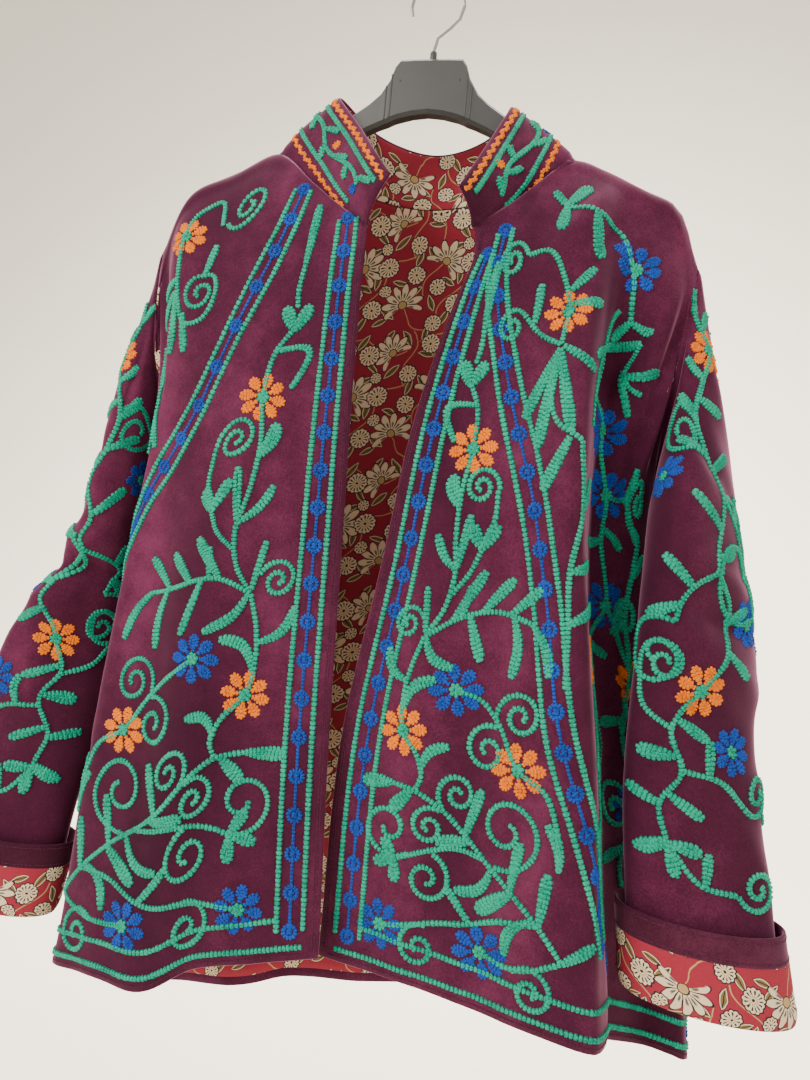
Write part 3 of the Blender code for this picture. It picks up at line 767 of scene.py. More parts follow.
@dataclass
class Wall:
    """A cloth's closed wall: outer face, inner face and rounded edges.

    Attributes:
        cloth: the piece of cloth whose outer face is given.
        thickness: from the outer to the inner face, mm.
        edge_round: how far the edges bulge out past the cut, mm.
        offset: how far under the cloth's own face the wall's outer face lies, mm.
        columns: first and last column, where the wall has only some of them.
        insets: how far each named edge is drawn back along the cloth, mm.
        turned_in: the edges where the outside cloth also shows on the inner face.
    """

    cloth: Cloth
    thickness: float
    edge_round: float
    offset: float = 0.0
    columns: tuple[int, int] | None = None
    insets: dict[str, float] = field(default_factory=dict)
    turned_in: Sequence[str] = ()

    def grids(self) -> tuple[Points, Points, Points, Points]:
        """The outer grid, the normals, and the flat coordinates of what the wall has."""
        cloth = self.cloth
        grid, normals = cloth.grid, cloth.normals
        flat = np.stack([cloth.across, cloth.up], axis=2)
        if self.columns:
            first, last = self.columns
            picked = slice(first, last + 1)
            grid, normals, flat = grid[picked], normals[picked], flat[picked]
        outer = grid - normals * self.offset
        for edge, amount in self.insets.items():
            outer = drawn_back(outer, edge, amount)
        inner = outer - normals * self.thickness
        return outer, inner, normals, flat

    def build(self, name: str, outside: object, inside: object) -> bpy.types.Object:
        """Makes the wall's mesh, its UV map in metres along the cloth."""
        outer, inner, _, flat = self.grids()
        around = self.cloth.around
        columns, rows = outer.shape[:2]
        spans = columns if around else columns - 1
        i, k = np.meshgrid(np.arange(spans), np.arange(rows - 1), indexing="ij")
        i, k = i.ravel(), k.ravel()
        j = (i + 1) % columns
        cells = np.stack([i * rows + k, i * rows + k + 1, j * rows + k + 1, j * rows + k], 1)
        uv_cells = np.stack([i, k, i, k + 1, i + 1, k + 1, i + 1, k], 1).reshape(-1, 4, 2)
        count = columns * rows
        loops = self.border_loops(columns, rows)
        edge_points, edge_faces, edge_uv = [], [], []
        start = count * 2
        for loop in loops:
            base = start + sum(len(points) for points in edge_points)
            edge_points.append(self.bulge(outer, inner, loop, around))
            for n, (a, b) in enumerate(zip(loop, np.roll(loop, -1, axis=0))):
                m = (n + 1) % len(loop)
                p, q = int(a[0] * rows + a[1]), int(b[0] * rows + b[1])
                edge_faces.append((p, q, base + m, base + n))
                edge_faces.append((base + n, base + m, q + count, p + count))
                edge_uv += [(a, b, b, a)] * 2
        points = np.concatenate([outer.reshape(-1, 3), inner.reshape(-1, 3)] + edge_points)
        faces = cells.tolist() + (cells + count)[:, ::-1].tolist() + edge_faces
        uv_at = np.concatenate([uv_cells, uv_cells[:, ::-1], np.array(edge_uv)])
        if self.cloth.side is Side.BACK:
            faces = [face[::-1] for face in faces]
            uv_at = uv_at[:, ::-1]
        piece = add_mesh(name, points, faces, [outside, inside])
        uv = flat[uv_at[:, :, 0], uv_at[:, :, 1]] * MM
        layer = piece.data.uv_layers.new(name="cloth")
        layer.data.foreach_set("uv", uv.reshape(-1).astype(np.float32))
        slots = np.zeros(len(faces), np.int32)
        near = {"top": k, "bottom": rows - 2 - k, "first": i, "last": spans - 1 - i}
        turned = np.any([near[edge] < TURNED_CELLS for edge in self.turned_in] or [k < 0], axis=0)
        slots[len(cells) : len(cells) * 2] = ~turned
        piece.data.polygons.foreach_set("material_index", slots)
        return piece

    def border_loops(self, columns: int, rows: int) -> list[Points]:
        """The grid's edges as loops of column and row, each with the cloth on the same hand."""
        top = [(i, 0) for i in range(columns)]
        bottom = [(i, rows - 1) for i in reversed(range(columns))]
        if self.cloth.around:
            return [np.array(top), np.array(bottom)]
        right = [(columns - 1, k) for k in range(1, rows - 1)]
        left = [(0, k) for k in reversed(range(1, rows - 1))]
        return [np.array(top + right + bottom + left)]

    def bulge(self, outer: Points, inner: Points, loop: Points, around: bool) -> Points:
        """Points half way through the wall, pushed out past its cut edge."""
        columns, rows = outer.shape[:2]
        i, k = loop[:, 0], loop[:, 1]
        middle = (outer[i, k] + inner[i, k]) / 2
        out = np.zeros_like(middle)
        for axis_ends, step in (((k == 0), 1), ((k == rows - 1), -1)):
            inward = np.clip(k + step, 0, rows - 1)
            away = middle - (outer[i, inward] + inner[i, inward]) / 2
            out += unit(away) * axis_ends[:, None]
        if not around:
            for axis_ends, step in (((i == 0), 1), ((i == columns - 1), -1)):
                inward = np.clip(i + step, 0, columns - 1)
                away = middle - (outer[inward, k] + inner[inward, k]) / 2
                out += unit(away) * axis_ends[:, None]
        return middle + unit(out) * self.edge_round


def unit(vectors: Points) -> Points:
    """Vectors of length one, and none where there was none."""
    return vectors / np.maximum(np.linalg.norm(vectors, axis=-1), 1e-9)[..., None]


def drawn_back(grid: Points, edge: str, amount: float) -> Points:
    """The grid squeezed so that the named edge lies back along the cloth by an amount."""
    view = grid.transpose(1, 0, 2) if edge in ("top", "bottom") else grid
    if edge in ("bottom", "last"):
        view = view[::-1]
    lengths = np.linalg.norm(np.diff(view, axis=0), axis=2)
    along = np.concatenate([np.zeros((1, view.shape[1])), np.cumsum(lengths, axis=0)])
    moved = np.empty_like(view)
    for n in range(view.shape[1]):
        total = along[-1, n]
        wanted = amount + along[:, n] * (total - amount) / total
        for axis in range(3):
            moved[:, n, axis] = np.interp(wanted, along[:, n], view[:, n, axis])
    if edge in ("bottom", "last"):
        moved = moved[::-1]
    return moved.transpose(1, 0, 2) if edge in ("top", "bottom") else moved


class Shade:
    """A socket of a material's nodes, with sums written as Python expressions."""

    def __init__(self, tree: bpy.types.NodeTree, socket: bpy.types.NodeSocket) -> None:
        self.tree = tree
        self.socket = socket

    def math(self, operation: str, *values: "Shade | float") -> "Shade":
        """A Math node on these values."""
        node = self.tree.nodes.new("ShaderNodeMath")
        node.operation = operation
        for slot, value in zip(node.inputs, values):
            if isinstance(value, Shade):
                self.tree.links.new(value.socket, slot)
            else:
                slot.default_value = value
        return Shade(self.tree, node.outputs[0])

    def __add__(self, other: "Shade | float") -> "Shade":
        return self.math("ADD", self, other)

    __radd__ = __add__

    def __sub__(self, other: "Shade | float") -> "Shade":
        return self.math("SUBTRACT", self, other)

    def __rsub__(self, other: "Shade | float") -> "Shade":
        return self.math("SUBTRACT", other, self)

    def __mul__(self, other: "Shade | float") -> "Shade":
        return self.math("MULTIPLY", self, other)

    __rmul__ = __mul__

    def __truediv__(self, other: "Shade | float") -> "Shade":
        return self.math("DIVIDE", self, other)

    def wrapped(self, low: float, high: float) -> "Shade":
        """The value brought round into the range."""
        return self.math("WRAP", self, high, low)

    def size(self) -> "Shade":
        """The value without its sign."""
        return self.math("ABSOLUTE", self)

    def root(self) -> "Shade":
        """The square root of the value."""
        return self.math("SQRT", self)

    def wave(self) -> "Shade":
        """The sine of the value."""
        return self.math("SINE", self)

    def step(self, low: float, high: float) -> "Shade":
        """Rises smoothly from 0 at low to 1 at high, or falls where high is the smaller."""
        node = self.tree.nodes.new("ShaderNodeMapRange")
        node.interpolation_type = "SMOOTHSTEP"
        self.tree.links.new(self.socket, node.inputs["Value"])
        ends = ((low, high), (0.0, 1.0)) if low < high else ((high, low), (1.0, 0.0))
        node.inputs["From Min"].default_value, node.inputs["From Max"].default_value = ends[0]
        node.inputs["To Min"].default_value, node.inputs["To Max"].default_value = ends[1]
        return Shade(self.tree, node.outputs["Result"])


class Paint:
    """The nodes of one material, made one call at a time."""

    def __init__(self, name: str) -> None:
        self.material = bpy.data.materials.new(name)
        self.material.use_nodes = True
        self.tree = self.material.node_tree
        self.shader = self.tree.nodes["Principled BSDF"]

    def node(
        self, kind: str, output: str | int = 0, settings: dict | None = None, **inputs: object
    ) -> Shade:
        """Adds a node.

        Args:
            kind: the node's type without its ShaderNode prefix.
            output: the output to return.
            settings: the node's own settings, set first.
            inputs: values or links of its sockets, a space in a name written as an underscore.

        Returns:
            The chosen output.
        """
        node = self.tree.nodes.new("ShaderNode" + kind)
        for key, value in (settings or {}).items():
            setattr(node, key, value)
        for key, value in inputs.items():
            slot = node.inputs[key.replace("_", " ")]
            if isinstance(value, Shade):
                self.tree.links.new(value.socket, slot)
            else:
                slot.default_value = value
        return Shade(self.tree, node.outputs[output])

    def set(self, **inputs: object) -> None:
        """Sets the shader's own sockets to values or links."""
        for key, value in inputs.items():
            slot = self.shader.inputs[key.replace("_", " ")]
            if isinstance(value, Shade):
                self.tree.links.new(value.socket, slot)
            else:
                slot.default_value = value

    def place(self, scale: tuple[float, float, float] = (1.0, 1.0, 1.0)) -> Shade:
        """Object coordinates, stretched."""
        coordinates = self.node("TexCoord", "Object")
        return self.node("Mapping", Vector=coordinates, Scale=scale)

    def cloth_place(self, scale: tuple[float, float, float] = (1.0, 1.0, 1.0)) -> Shade:
        """The cloth's own flat coordinates in metres, stretched."""
        coordinates = self.node("UVMap", settings={"uv_map": "cloth"})
        return self.node("Mapping", Vector=coordinates, Scale=scale)

    def noise(self, place: Shade, scale: float, detail: float = 2.0, rough: float = 0.5) -> Shade:
        """Noise between 0 and 1, scale being its patches in a metre."""
        return self.node(
            "TexNoise", "Fac", Vector=place, Scale=scale, Detail=detail, Roughness=rough
        )

    def mix(self, share: Shade, first: object, second: object) -> Shade:
        """A colour between two, by share."""
        node = self.tree.nodes.new("ShaderNodeMix")
        node.data_type = "RGBA"
        self.tree.links.new(share.socket, node.inputs["Factor"])
        for slot, value in ((node.inputs[6], first), (node.inputs[7], second)):
            if isinstance(value, Shade):
                self.tree.links.new(value.socket, slot)
            else:
                slot.default_value = (*value, 1.0)
        return Shade(self.tree, node.outputs[2])

    def bump(self, height: Shade, strength: float, distance: float) -> Shade:
        """A normal for the shader, from a height of at most distance in metres."""
        return self.node("Bump", Height=height, Strength=strength, Distance=distance)


Colour = tuple[float, float, float]


@dataclass(frozen=True)
class Velvet:
    """Cotton velvet: a dark pile with a soft sheen, brushed lighter in patches."""

    name: str
    shade: Colour
    pile: Colour
    bloom: Colour

    def make(self) -> bpy.types.Material:
        """Builds the material."""
        paint = Paint(self.name)
        place = paint.place()
        drawn = paint.place((1.0, 1.0, 0.3))
        brushed = paint.noise(drawn, 9.0, 2.0, 0.5)
        crushed = paint.noise(place, 48.0, 4.0, 0.6)
        fine = paint.noise(place, 620.0, 3.0, 0.7)
        light = (brushed * 0.75 + crushed * 0.25 + fine * 0.45 - 0.28).step(0.12, 0.86)
        deep = paint.mix(light, self.shade, self.pile)
        worn = (brushed * 0.7 + crushed * 0.22 + fine * 0.2).step(0.52, 0.8) * 0.5
        paint.set(
            Base_Color=paint.mix(worn, deep, self.bloom),
            Roughness=0.9,
            Sheen_Weight=0.6,
            Sheen_Roughness=0.34,
            Sheen_Tint=(*VELVET_SHEEN, 1.0),
            Specular_IOR_Level=0.12,
            Normal=paint.bump(crushed * 0.3 + fine * 0.7, 0.3, 0.0005),
        )
        return paint.material


@dataclass(frozen=True)
class Yarn:
    """Twisted embroidery yarn, a little uneven in its dye."""

    name: str
    colour: Colour
    dark: Colour

    def make(self) -> bpy.types.Material:
        """Builds the material."""
        paint = Paint(self.name)
        place = paint.place()
        dye = paint.noise(place, 45.0, 2.0)
        ply = paint.noise(place, 620.0, 3.0, 0.75)
        share = (dye * 0.3 + ply * 0.9).step(0.38, 0.74)
        paint.set(
            Base_Color=paint.mix(share, self.dark, self.colour),
            Roughness=0.75,
            Sheen_Weight=0.04,
            Sheen_Roughness=0.5,
            Specular_IOR_Level=0.2,
            Normal=paint.bump(ply, 0.8, 0.0008),
        )
        return paint.material


# One chain stitch, mm, and how far apart the rows that fill a shape lie
STITCH_LENGTH = 3.5
STITCH_WIDTH = 5.2
STITCH_HEIGHT = 1.7
STITCH_OVERLAP = 1.05
STITCH_JITTER = 0.12
ROW_SPACING = 3.5

# How far from its flat place a stitch may be found before it counts as off the cloth, mm
CLOTH_TOLERANCE = 1.8

# How far teal is laid over the other yarns, mm
OVERLAY = 0.4

# A leaf's full width for the width it is drawn with
LEAF_FULLNESS = 1.3

# Corners of one stitch: along the thread, to its side and up, in stitch lengths, widths, heights
STITCH_CORNERS = np.array([
    (-0.10, 0.0, -0.1),
    (0.22, -0.5, -0.2),
    (0.26, -0.28, 0.95),
    (0.36, 0.0, 0.2),
    (0.26, 0.28, 0.95),
    (0.22, 0.5, -0.2),
    (0.80, -0.44, -0.2),
    (0.76, -0.24, 1.0),
    (0.70, 0.0, 0.3),
    (0.76, 0.24, 1.0),
    (0.80, 0.44, -0.2),
    (1.10, 0.0, 0.1),
])
STITCH_FACES = np.array([
    (0, 1, 2), (0, 2, 3), (0, 3, 4), (0, 4, 5), (0, 5, 1),
    (1, 6, 7), (1, 7, 2), (2, 7, 8), (2, 8, 3), (3, 8, 9),
    (3, 9, 4), (4, 9, 10), (4, 10, 5), (5, 10, 6), (5, 6, 1),
    (11, 7, 6), (11, 8, 7), (11, 9, 8), (11, 10, 9), (11, 6, 10),
])


class Yarns(Enum):
    """The embroidery's yarns, and the thread that sews the edges."""

    TEAL = "teal"
    BLUE = "blue"
    ORANGE = "orange"
    CHAIN = "chain"
    THREAD = "thread"

    @property
    def share(self) -> tuple[float, float, float]:
        """How long, wide and high its stitches are, as shares of a plain one."""
        shares = {
            Yarns.TEAL: (1.0, 1.0, 1.0), Yarns.BLUE: (0.76, 0.84, 0.85), Yarns.ORANGE: (0.76, 0.84, 0.85),
            Yarns.CHAIN: (0.9, 0.62, 0.8), Yarns.THREAD: (0.9, 0.22, 0.30),
        }
        return shares[self]


def smooth_line(points: Sequence, step: float = 1.0) -> Points:
    """A smooth curve through a few flat places, with a point every step, mm."""
    points = np.asarray(points, float)
    knots = chord_knots(points)
    return spline(knots, points, np.arange(0.0, knots[-1], step))


def respaced(line: Points, step: float) -> Points:
    """The line with its points as near to a step apart as makes them even, mm."""
    knots = chord_knots(line)
    count = max(int(round(knots[-1] / step)), 1)
    at = np.linspace(0.0, knots[-1], count + 1)
    return np.stack([np.interp(at, knots, line[:, axis]) for axis in range(line.shape[1])], axis=1)


def turned(vector: Points, degrees: float) -> Points:
    """A flat vector turned to the left."""
    angle = math.radians(degrees)
    c, s = math.cos(angle), math.sin(angle)
    return np.array([vector[0] * c - vector[1] * s, vector[0] * s + vector[1] * c])


@dataclass
class Needlework:
    """Chain stitch on one piece of cloth, drawn in the cloth's flat coordinates.

    Attributes:
        cloth: what it is sewn on.
        lines: for each yarn, the lines of stitches.
        mirror: -1 to turn what is drawn over from left to right.
    """

    cloth: Cloth
    lines: dict[Yarns, list[Points]] = field(default_factory=lambda: {yarn: [] for yarn in Yarns})
    mirror: int = 1

    def line(self, points: Points, yarn: Yarns = Yarns.TEAL) -> Points:
        """One line of stitches.

        Args:
            points: its flat places, close together.
            yarn: its yarn.

        Returns:
            The same places, for what grows from the line.
        """
        self.lines[yarn].append(np.asarray(points, float) * (self.mirror, 1.0))
        return points

    def stem(self, points: Sequence, yarn: Yarns = Yarns.TEAL) -> Points:
        """A smooth single line through a few places."""
        return self.line(smooth_line(points), yarn)

    def evening(self, place: Points) -> Points:
        """The matrix that keeps a small shape round on the cloth at a place."""
        even = self.cloth.evening(place * (self.mirror, 1.0))
        even[0, 1] *= self.mirror
        even[1, 0] *= self.mirror
        return even

    def leaf(self, base: Points, tip: Points, width: float, bend: float = 0.0) -> None:
        """A leaf filled with rows of stitches, thin at its base and round at its tip.

        Args:
            base, tip: its ends.
            width: across its widest part, mm.
            bend: how far its middle lies to the left, as a share of its length.
        """
        base, tip = np.asarray(base, float), np.asarray(tip, float)
        ahead = tip - base
        aside = np.array([-ahead[1], ahead[0]])
        share = np.linspace(0.0, 1.0, 24)
        middle = base + ahead * share[:, None] + aside * (bend * np.sin(np.pi * share))[:, None]
        full = share**0.6 * np.sqrt(np.clip(1.0 - share**6, 0.0, 1.0))
        width *= LEAF_FULLNESS
        rows = max(int(round((width - STITCH_WIDTH) / ROW_SPACING)) + 1, 1)
        reach = (width - STITCH_WIDTH) / 2
        for row in np.linspace(-reach, reach, rows) if rows > 1 else (0.0,):
            self.line(middle + unit(aside) * (row * full)[:, None])

    def spiral(self, start: Points, centre: Points, turns: float) -> None:
        """A curl that winds in from its start to its centre, leftwards where turns is positive."""
        start, centre = np.asarray(start, float), np.asarray(centre, float)
        radius = np.linalg.norm(start - centre)
        first = math.atan2(*(start - centre)[::-1])
        share = np.linspace(0.0, 1.0, int(40 * abs(turns)) + 2)
        angle = first + share * turns * 2 * math.pi
        size = radius * (1.0 - 0.84 * share**0.85)
        curl = centre + size[:, None] * np.stack([np.cos(angle), np.sin(angle)], 1)
        self.line(curl)

    def flower(
        self, place: Points, radius: float, yarn: Yarns, stretch: float = 1.0, petals: int = 8
    ) -> None:
        """A round flower of filled petals with a teal middle.

        Args:
            place: its middle.
            radius: its size, mm.
            yarn: its petals' yarn.
            stretch: how much wider it is than high.
            petals: how many it has.
        """
        place = np.asarray(place, float)
        even = self.evening(place) * (stretch, 1.0)
        for petal in range(petals):
            out = turned(np.array([1.0, 0.0]), 360.0 * (petal + 0.3) / petals)
            side = turned(out, 90.0)
            middle = out * (radius * 0.68)
            share = np.linspace(0.0, 2 * math.pi, 17)
            long = out * (radius * 0.24) * np.cos(share)[:, None]
            ring = middle + long + side * (radius * 0.155) * np.sin(share)[:, None]
            self.line(place + ring @ even.T, yarn)
            spoke = np.array([out * radius * 0.26, out * radius * 0.88])
            self.line(place + spoke @ even.T, yarn)
        self.dot(place, radius * 0.30, Yarns.TEAL)

    def dot(self, place: Points, radius: float, yarn: Yarns = Yarns.BLUE) -> None:
        """A filled round dot."""
        place = np.asarray(place, float)
        outermost = radius - STITCH_WIDTH * 0.45
        share = np.linspace(0.0, 2 * math.pi, 15)
        circle = np.stack([np.cos(share), np.sin(share)], 1) @ self.evening(place).T
        size = outermost
        while size > 0.8:
            self.line(place + circle * size, yarn)
            size -= ROW_SPACING
        self.line(place + np.array([(-1.2, 0.0), (1.2, 0.0)]), yarn)

    def heart(self, base: Points, top: Points, width: float) -> None:
        """Two short round leaves from one base."""
        base, top = np.asarray(base, float), np.asarray(top, float)
        for hand in (-1, 1):
            self.leaf(base, base + turned(top - base, 32.0 * hand), width)

    def trefoil(self, base: Points, top: Points, width: float) -> None:
        """Three round leaves from one base."""
        base, top = np.asarray(base, float), np.asarray(top, float)
        for angle in (-75.0, 0.0, 75.0):
            self.leaf(base, base + turned(top - base, angle), width)

    def beads(self, route: Points, spacing: float, radius: float, yarn: Yarns = Yarns.BLUE) -> None:
        """Dots at even distances along a route, joined by a single line."""
        route = respaced(np.asarray(route, float), spacing)
        self.line(smooth_line(route), Yarns.CHAIN)
        for place in route:
            self.dot(place, radius, yarn)

    def stitched(
        self, name: str, stuff: dict[Yarns, bpy.types.Material], seed: int
    ) -> list[bpy.types.Object]:
        """Makes one mesh of stitches for each yarn, lying on the cloth.

        Args:
            name: the cloth's name, which begins the meshes' names.
            stuff: each yarn's material.
            seed: starts the small differences from stitch to stitch.

        Returns:
            The meshes.
        """
        made = []
        chance = np.random.default_rng(seed)
        for yarn, lines in self.lines.items():
            if not lines:
                continue
            step = STITCH_LENGTH * yarn.share[0]
            fine = [
                respaced(line, step * chance.uniform(1 - STITCH_JITTER, 1 + STITCH_JITTER))
                for line in lines
            ]
            flat = np.concatenate(fine)
            places = self.cloth.locate(flat)
            found = np.stack([
                self.cloth.read(self.cloth.across, places), self.cloth.read(self.cloth.up, places)
            ], 1)
            off = np.linalg.norm(found - flat, axis=1)
            normals = unit(self.cloth.read(self.cloth.normals, places))
            lift = OVERLAY if yarn is Yarns.TEAL else 0.0
            points = self.cloth.read(self.cloth.grid, places) + normals * lift
            ends = np.zeros(len(flat), bool)
            ends[np.cumsum([len(line) for line in fine]) - 1] = True
            on_cloth = off < CLOTH_TOLERANCE
            picked = np.nonzero(~ends & on_cloth & np.roll(on_cloth, -1))[0]
            along = points[picked + 1] - points[picked]
            ahead = unit(along)
            normal = normals[picked]
            aside = unit(np.cross(normal, ahead))
            normal = np.cross(ahead, aside)
            length = np.linalg.norm(along, axis=1) * STITCH_OVERLAP
            spread = 1 + chance.uniform(-STITCH_JITTER, STITCH_JITTER, (len(picked), 2))
            wide = STITCH_WIDTH * yarn.share[1] * spread[:, :1]
            high = STITCH_HEIGHT * yarn.share[2] * spread[:, 1:]
            corners = (
                points[picked][:, None]
                + STITCH_CORNERS[None, :, :1] * (ahead * length[:, None])[:, None]
                + STITCH_CORNERS[None, :, 1:2] * (aside * wide)[:, None]
                + STITCH_CORNERS[None, :, 2:] * (normal * high)[:, None]
            )
            count = len(STITCH_CORNERS)
            faces = STITCH_FACES[None] + (np.arange(len(picked)) * count)[:, None, None]
            made.append(add_mesh(
                f"{name}_{yarn.value}_stitches", corners.reshape(-1, 3),
                faces.reshape(-1, 3).tolist(), [stuff[yarn]],
            ))
        return made


@dataclass(frozen=True)
class Layout:
    """Motifs in flat coordinates, mm, that can be worked at another scale.

    Attributes:
        stems: single lines through a few places.
        leaves: base across and up, tip across and up, width, bend.
        curls: start across and up, centre across and up, turns.
        flowers: across, up, radius, yarn and stretch.
        hearts, trefoils: base across and up, top across and up, width.
    """

    stems: tuple = ()
    leaves: tuple = ()
    curls: tuple = ()
    flowers: tuple = ()
    hearts: tuple = ()
    trefoils: tuple = ()

    def work(self, needle: Needlework, scale: Sequence = (1.0, 1.0), shift: Sequence = (0.0, 0.0)) -> None:
        """Embroiders the motifs, their places scaled and then shifted."""
        scale, shift = np.array(scale, float), np.array(shift, float)

        def at(across: float, up: float) -> Points:
            return np.array((across, up)) * scale + shift

        for stem in self.stems:
            needle.stem([at(*place) for place in stem])
        for a, b, c, d, width, bend in self.leaves:
            needle.leaf(at(a, b), at(c, d), width, bend)
        for a, b, c, d, turns in self.curls:
            centre = at(c, d)
            needle.spiral(centre + (np.array((a, b)) - (c, d)) * scale.mean(), centre, turns)
        for across, up, radius, yarn, stretch in self.flowers:
            needle.flower(at(across, up), radius, yarn, stretch)
        for a, b, c, d, width in self.hearts:
            needle.heart(at(a, b), at(c, d), width)
        for a, b, c, d, width in self.trefoils:
            needle.trefoil(at(a, b), at(c, d), width)


# What fills both fronts between their two borders, from the high leaf down to the hem
FRONT_FIELD = Layout(
    stems=(
        ((66, 584), (69, 560), (67, 545)),
        ((67, 527), (82, 508), (88, 469), (84, 430), (88, 392), (96, 355), (90, 325), (76, 303)),
        ((121, 384), (112, 362), (96, 342)),
        ((121, 386), (129, 410), (127, 436)),
        ((76, 303), (115, 325), (150, 334), (190, 330)),
        ((76, 303), (68, 275), (66, 248), (72, 219), (92, 200), (99, 183), (94, 170)),
        ((122, 262), (152, 257), (173, 243), (202, 209), (232, 197), (246, 172), (252, 135)),
        ((94, 170), (68, 172)),
        ((94, 170), (125, 158), (150, 143), (175, 128), (205, 110), (235, 88), (262, 64)),
        ((175, 128), (147, 129), (118, 122), (92, 112), (76, 106)),
        ((235, 88), (198, 82), (165, 70), (125, 60), (88, 50), (67, 45)),
        ((262, 64), (230, 50), (203, 46), (178, 49)),
    ),
    leaves=(
        (66, 584, 62, 640, 9, 0.0), (83, 508, 62, 474, 7, -0.7), (85, 418, 70, 444, 14, 0.1),
        (96, 366, 101, 412, 8, 0.0), (95, 364, 66, 392, 8, 0.1),
        (104, 320, 131, 366, 9, 0.0), (135, 331, 162, 364, 9, 0.0), (165, 334, 194, 360, 9, 0.0),
        (114, 325, 117, 352, 6, 0.0), (76, 306, 67, 346, 6, 0.0), (190, 330, 218, 290, 9, 0.1),
        (168, 334, 178, 282, 9, 0.1), (122, 327, 142, 290, 9, 0.0), (78, 303, 114, 280, 9, -0.2),
        (66, 262, 36, 288, 9, 0.2), (68, 238, 98, 268, 10, 0.2), (97, 188, 124, 213, 9, 0.2),
        (68, 172, 34, 168, 12, 0.0), (90, 170, 70, 149, 12, 0.0),
        (152, 142, 166, 184, 9, 0.0), (158, 138, 122, 130, 11, 0.0), (205, 111, 213, 152, 9, 0.0),
        (236, 88, 242, 132, 9, 0.0), (252, 137, 238, 172, 9, -0.1), (207, 109, 172, 84, 13, 0.0),
        (184, 123, 146, 94, 9, 0.2), (230, 91, 204, 56, 9, -0.2), (165, 70, 136, 95, 7, 0.0),
        (262, 64, 292, 84, 9, 0.0),
    ),
    curls=(
        (127, 436, 107, 437, 1.8), (70, 318, 53, 312, 1.7), (173, 244, 196, 252, -1.7),
        (173, 241, 166, 218, 1.5), (126, 158, 140, 174, -1.6), (122, 158, 112, 141, 1.6),
        (187, 122, 197, 158, 1.5), (90, 112, 68, 132, -1.4), (118, 121, 114, 96, -1.5),
        (118, 58, 112, 36, 1.5), (215, 46, 234, 32, -1.6),
    ),
    flowers=(
        (88, 469, 21, Yarns.ORANGE, 1.0), (72, 219, 21, Yarns.ORANGE, 1.0),
        (202, 209, 21, Yarns.ORANGE, 1.15),
        (122, 262, 21, Yarns.BLUE, 1.12), (67, 45, 21, Yarns.BLUE, 1.0), (178, 49, 21, Yarns.BLUE, 1.15),
    ),
    hearts=((67, 525, 66, 549, 13), (121, 384, 118, 408, 12)),
    trefoils=((77, 106, 56, 99, 11),),
)

# What only the right front has: its shoulder beyond the slanting border, and a curl low down
RIGHT_SHOULDER = Layout(
    stems=(
        ((172, 662), (182, 690), (205, 680), (212, 655), (208, 625), (204, 602)),
        ((204, 602), (188, 570), (168, 572), (160, 590), (168, 612), (184, 612)),
        ((252, 560), (240, 510), (238, 460)),
    ),
    leaves=(
        (204, 602, 206, 545, 10, 0.0), (192, 580, 186, 545, 9, 0.0), (176, 612, 172, 642, 7, 0.0),
        (206, 612, 240, 600, 9, 0.0), (206, 600, 238, 572, 9, 0.0), (240, 500, 214, 462, 8, 0.0),
        (245, 540, 222, 520, 8, 0.1),
    ),
    curls=((167, 662, 147, 668, -1.7), (184, 612, 176, 596, -1.4), (246, 172, 268, 170, -1.6)),
    flowers=((210, 655, 20, Yarns.ORANGE, 1.0),),
)

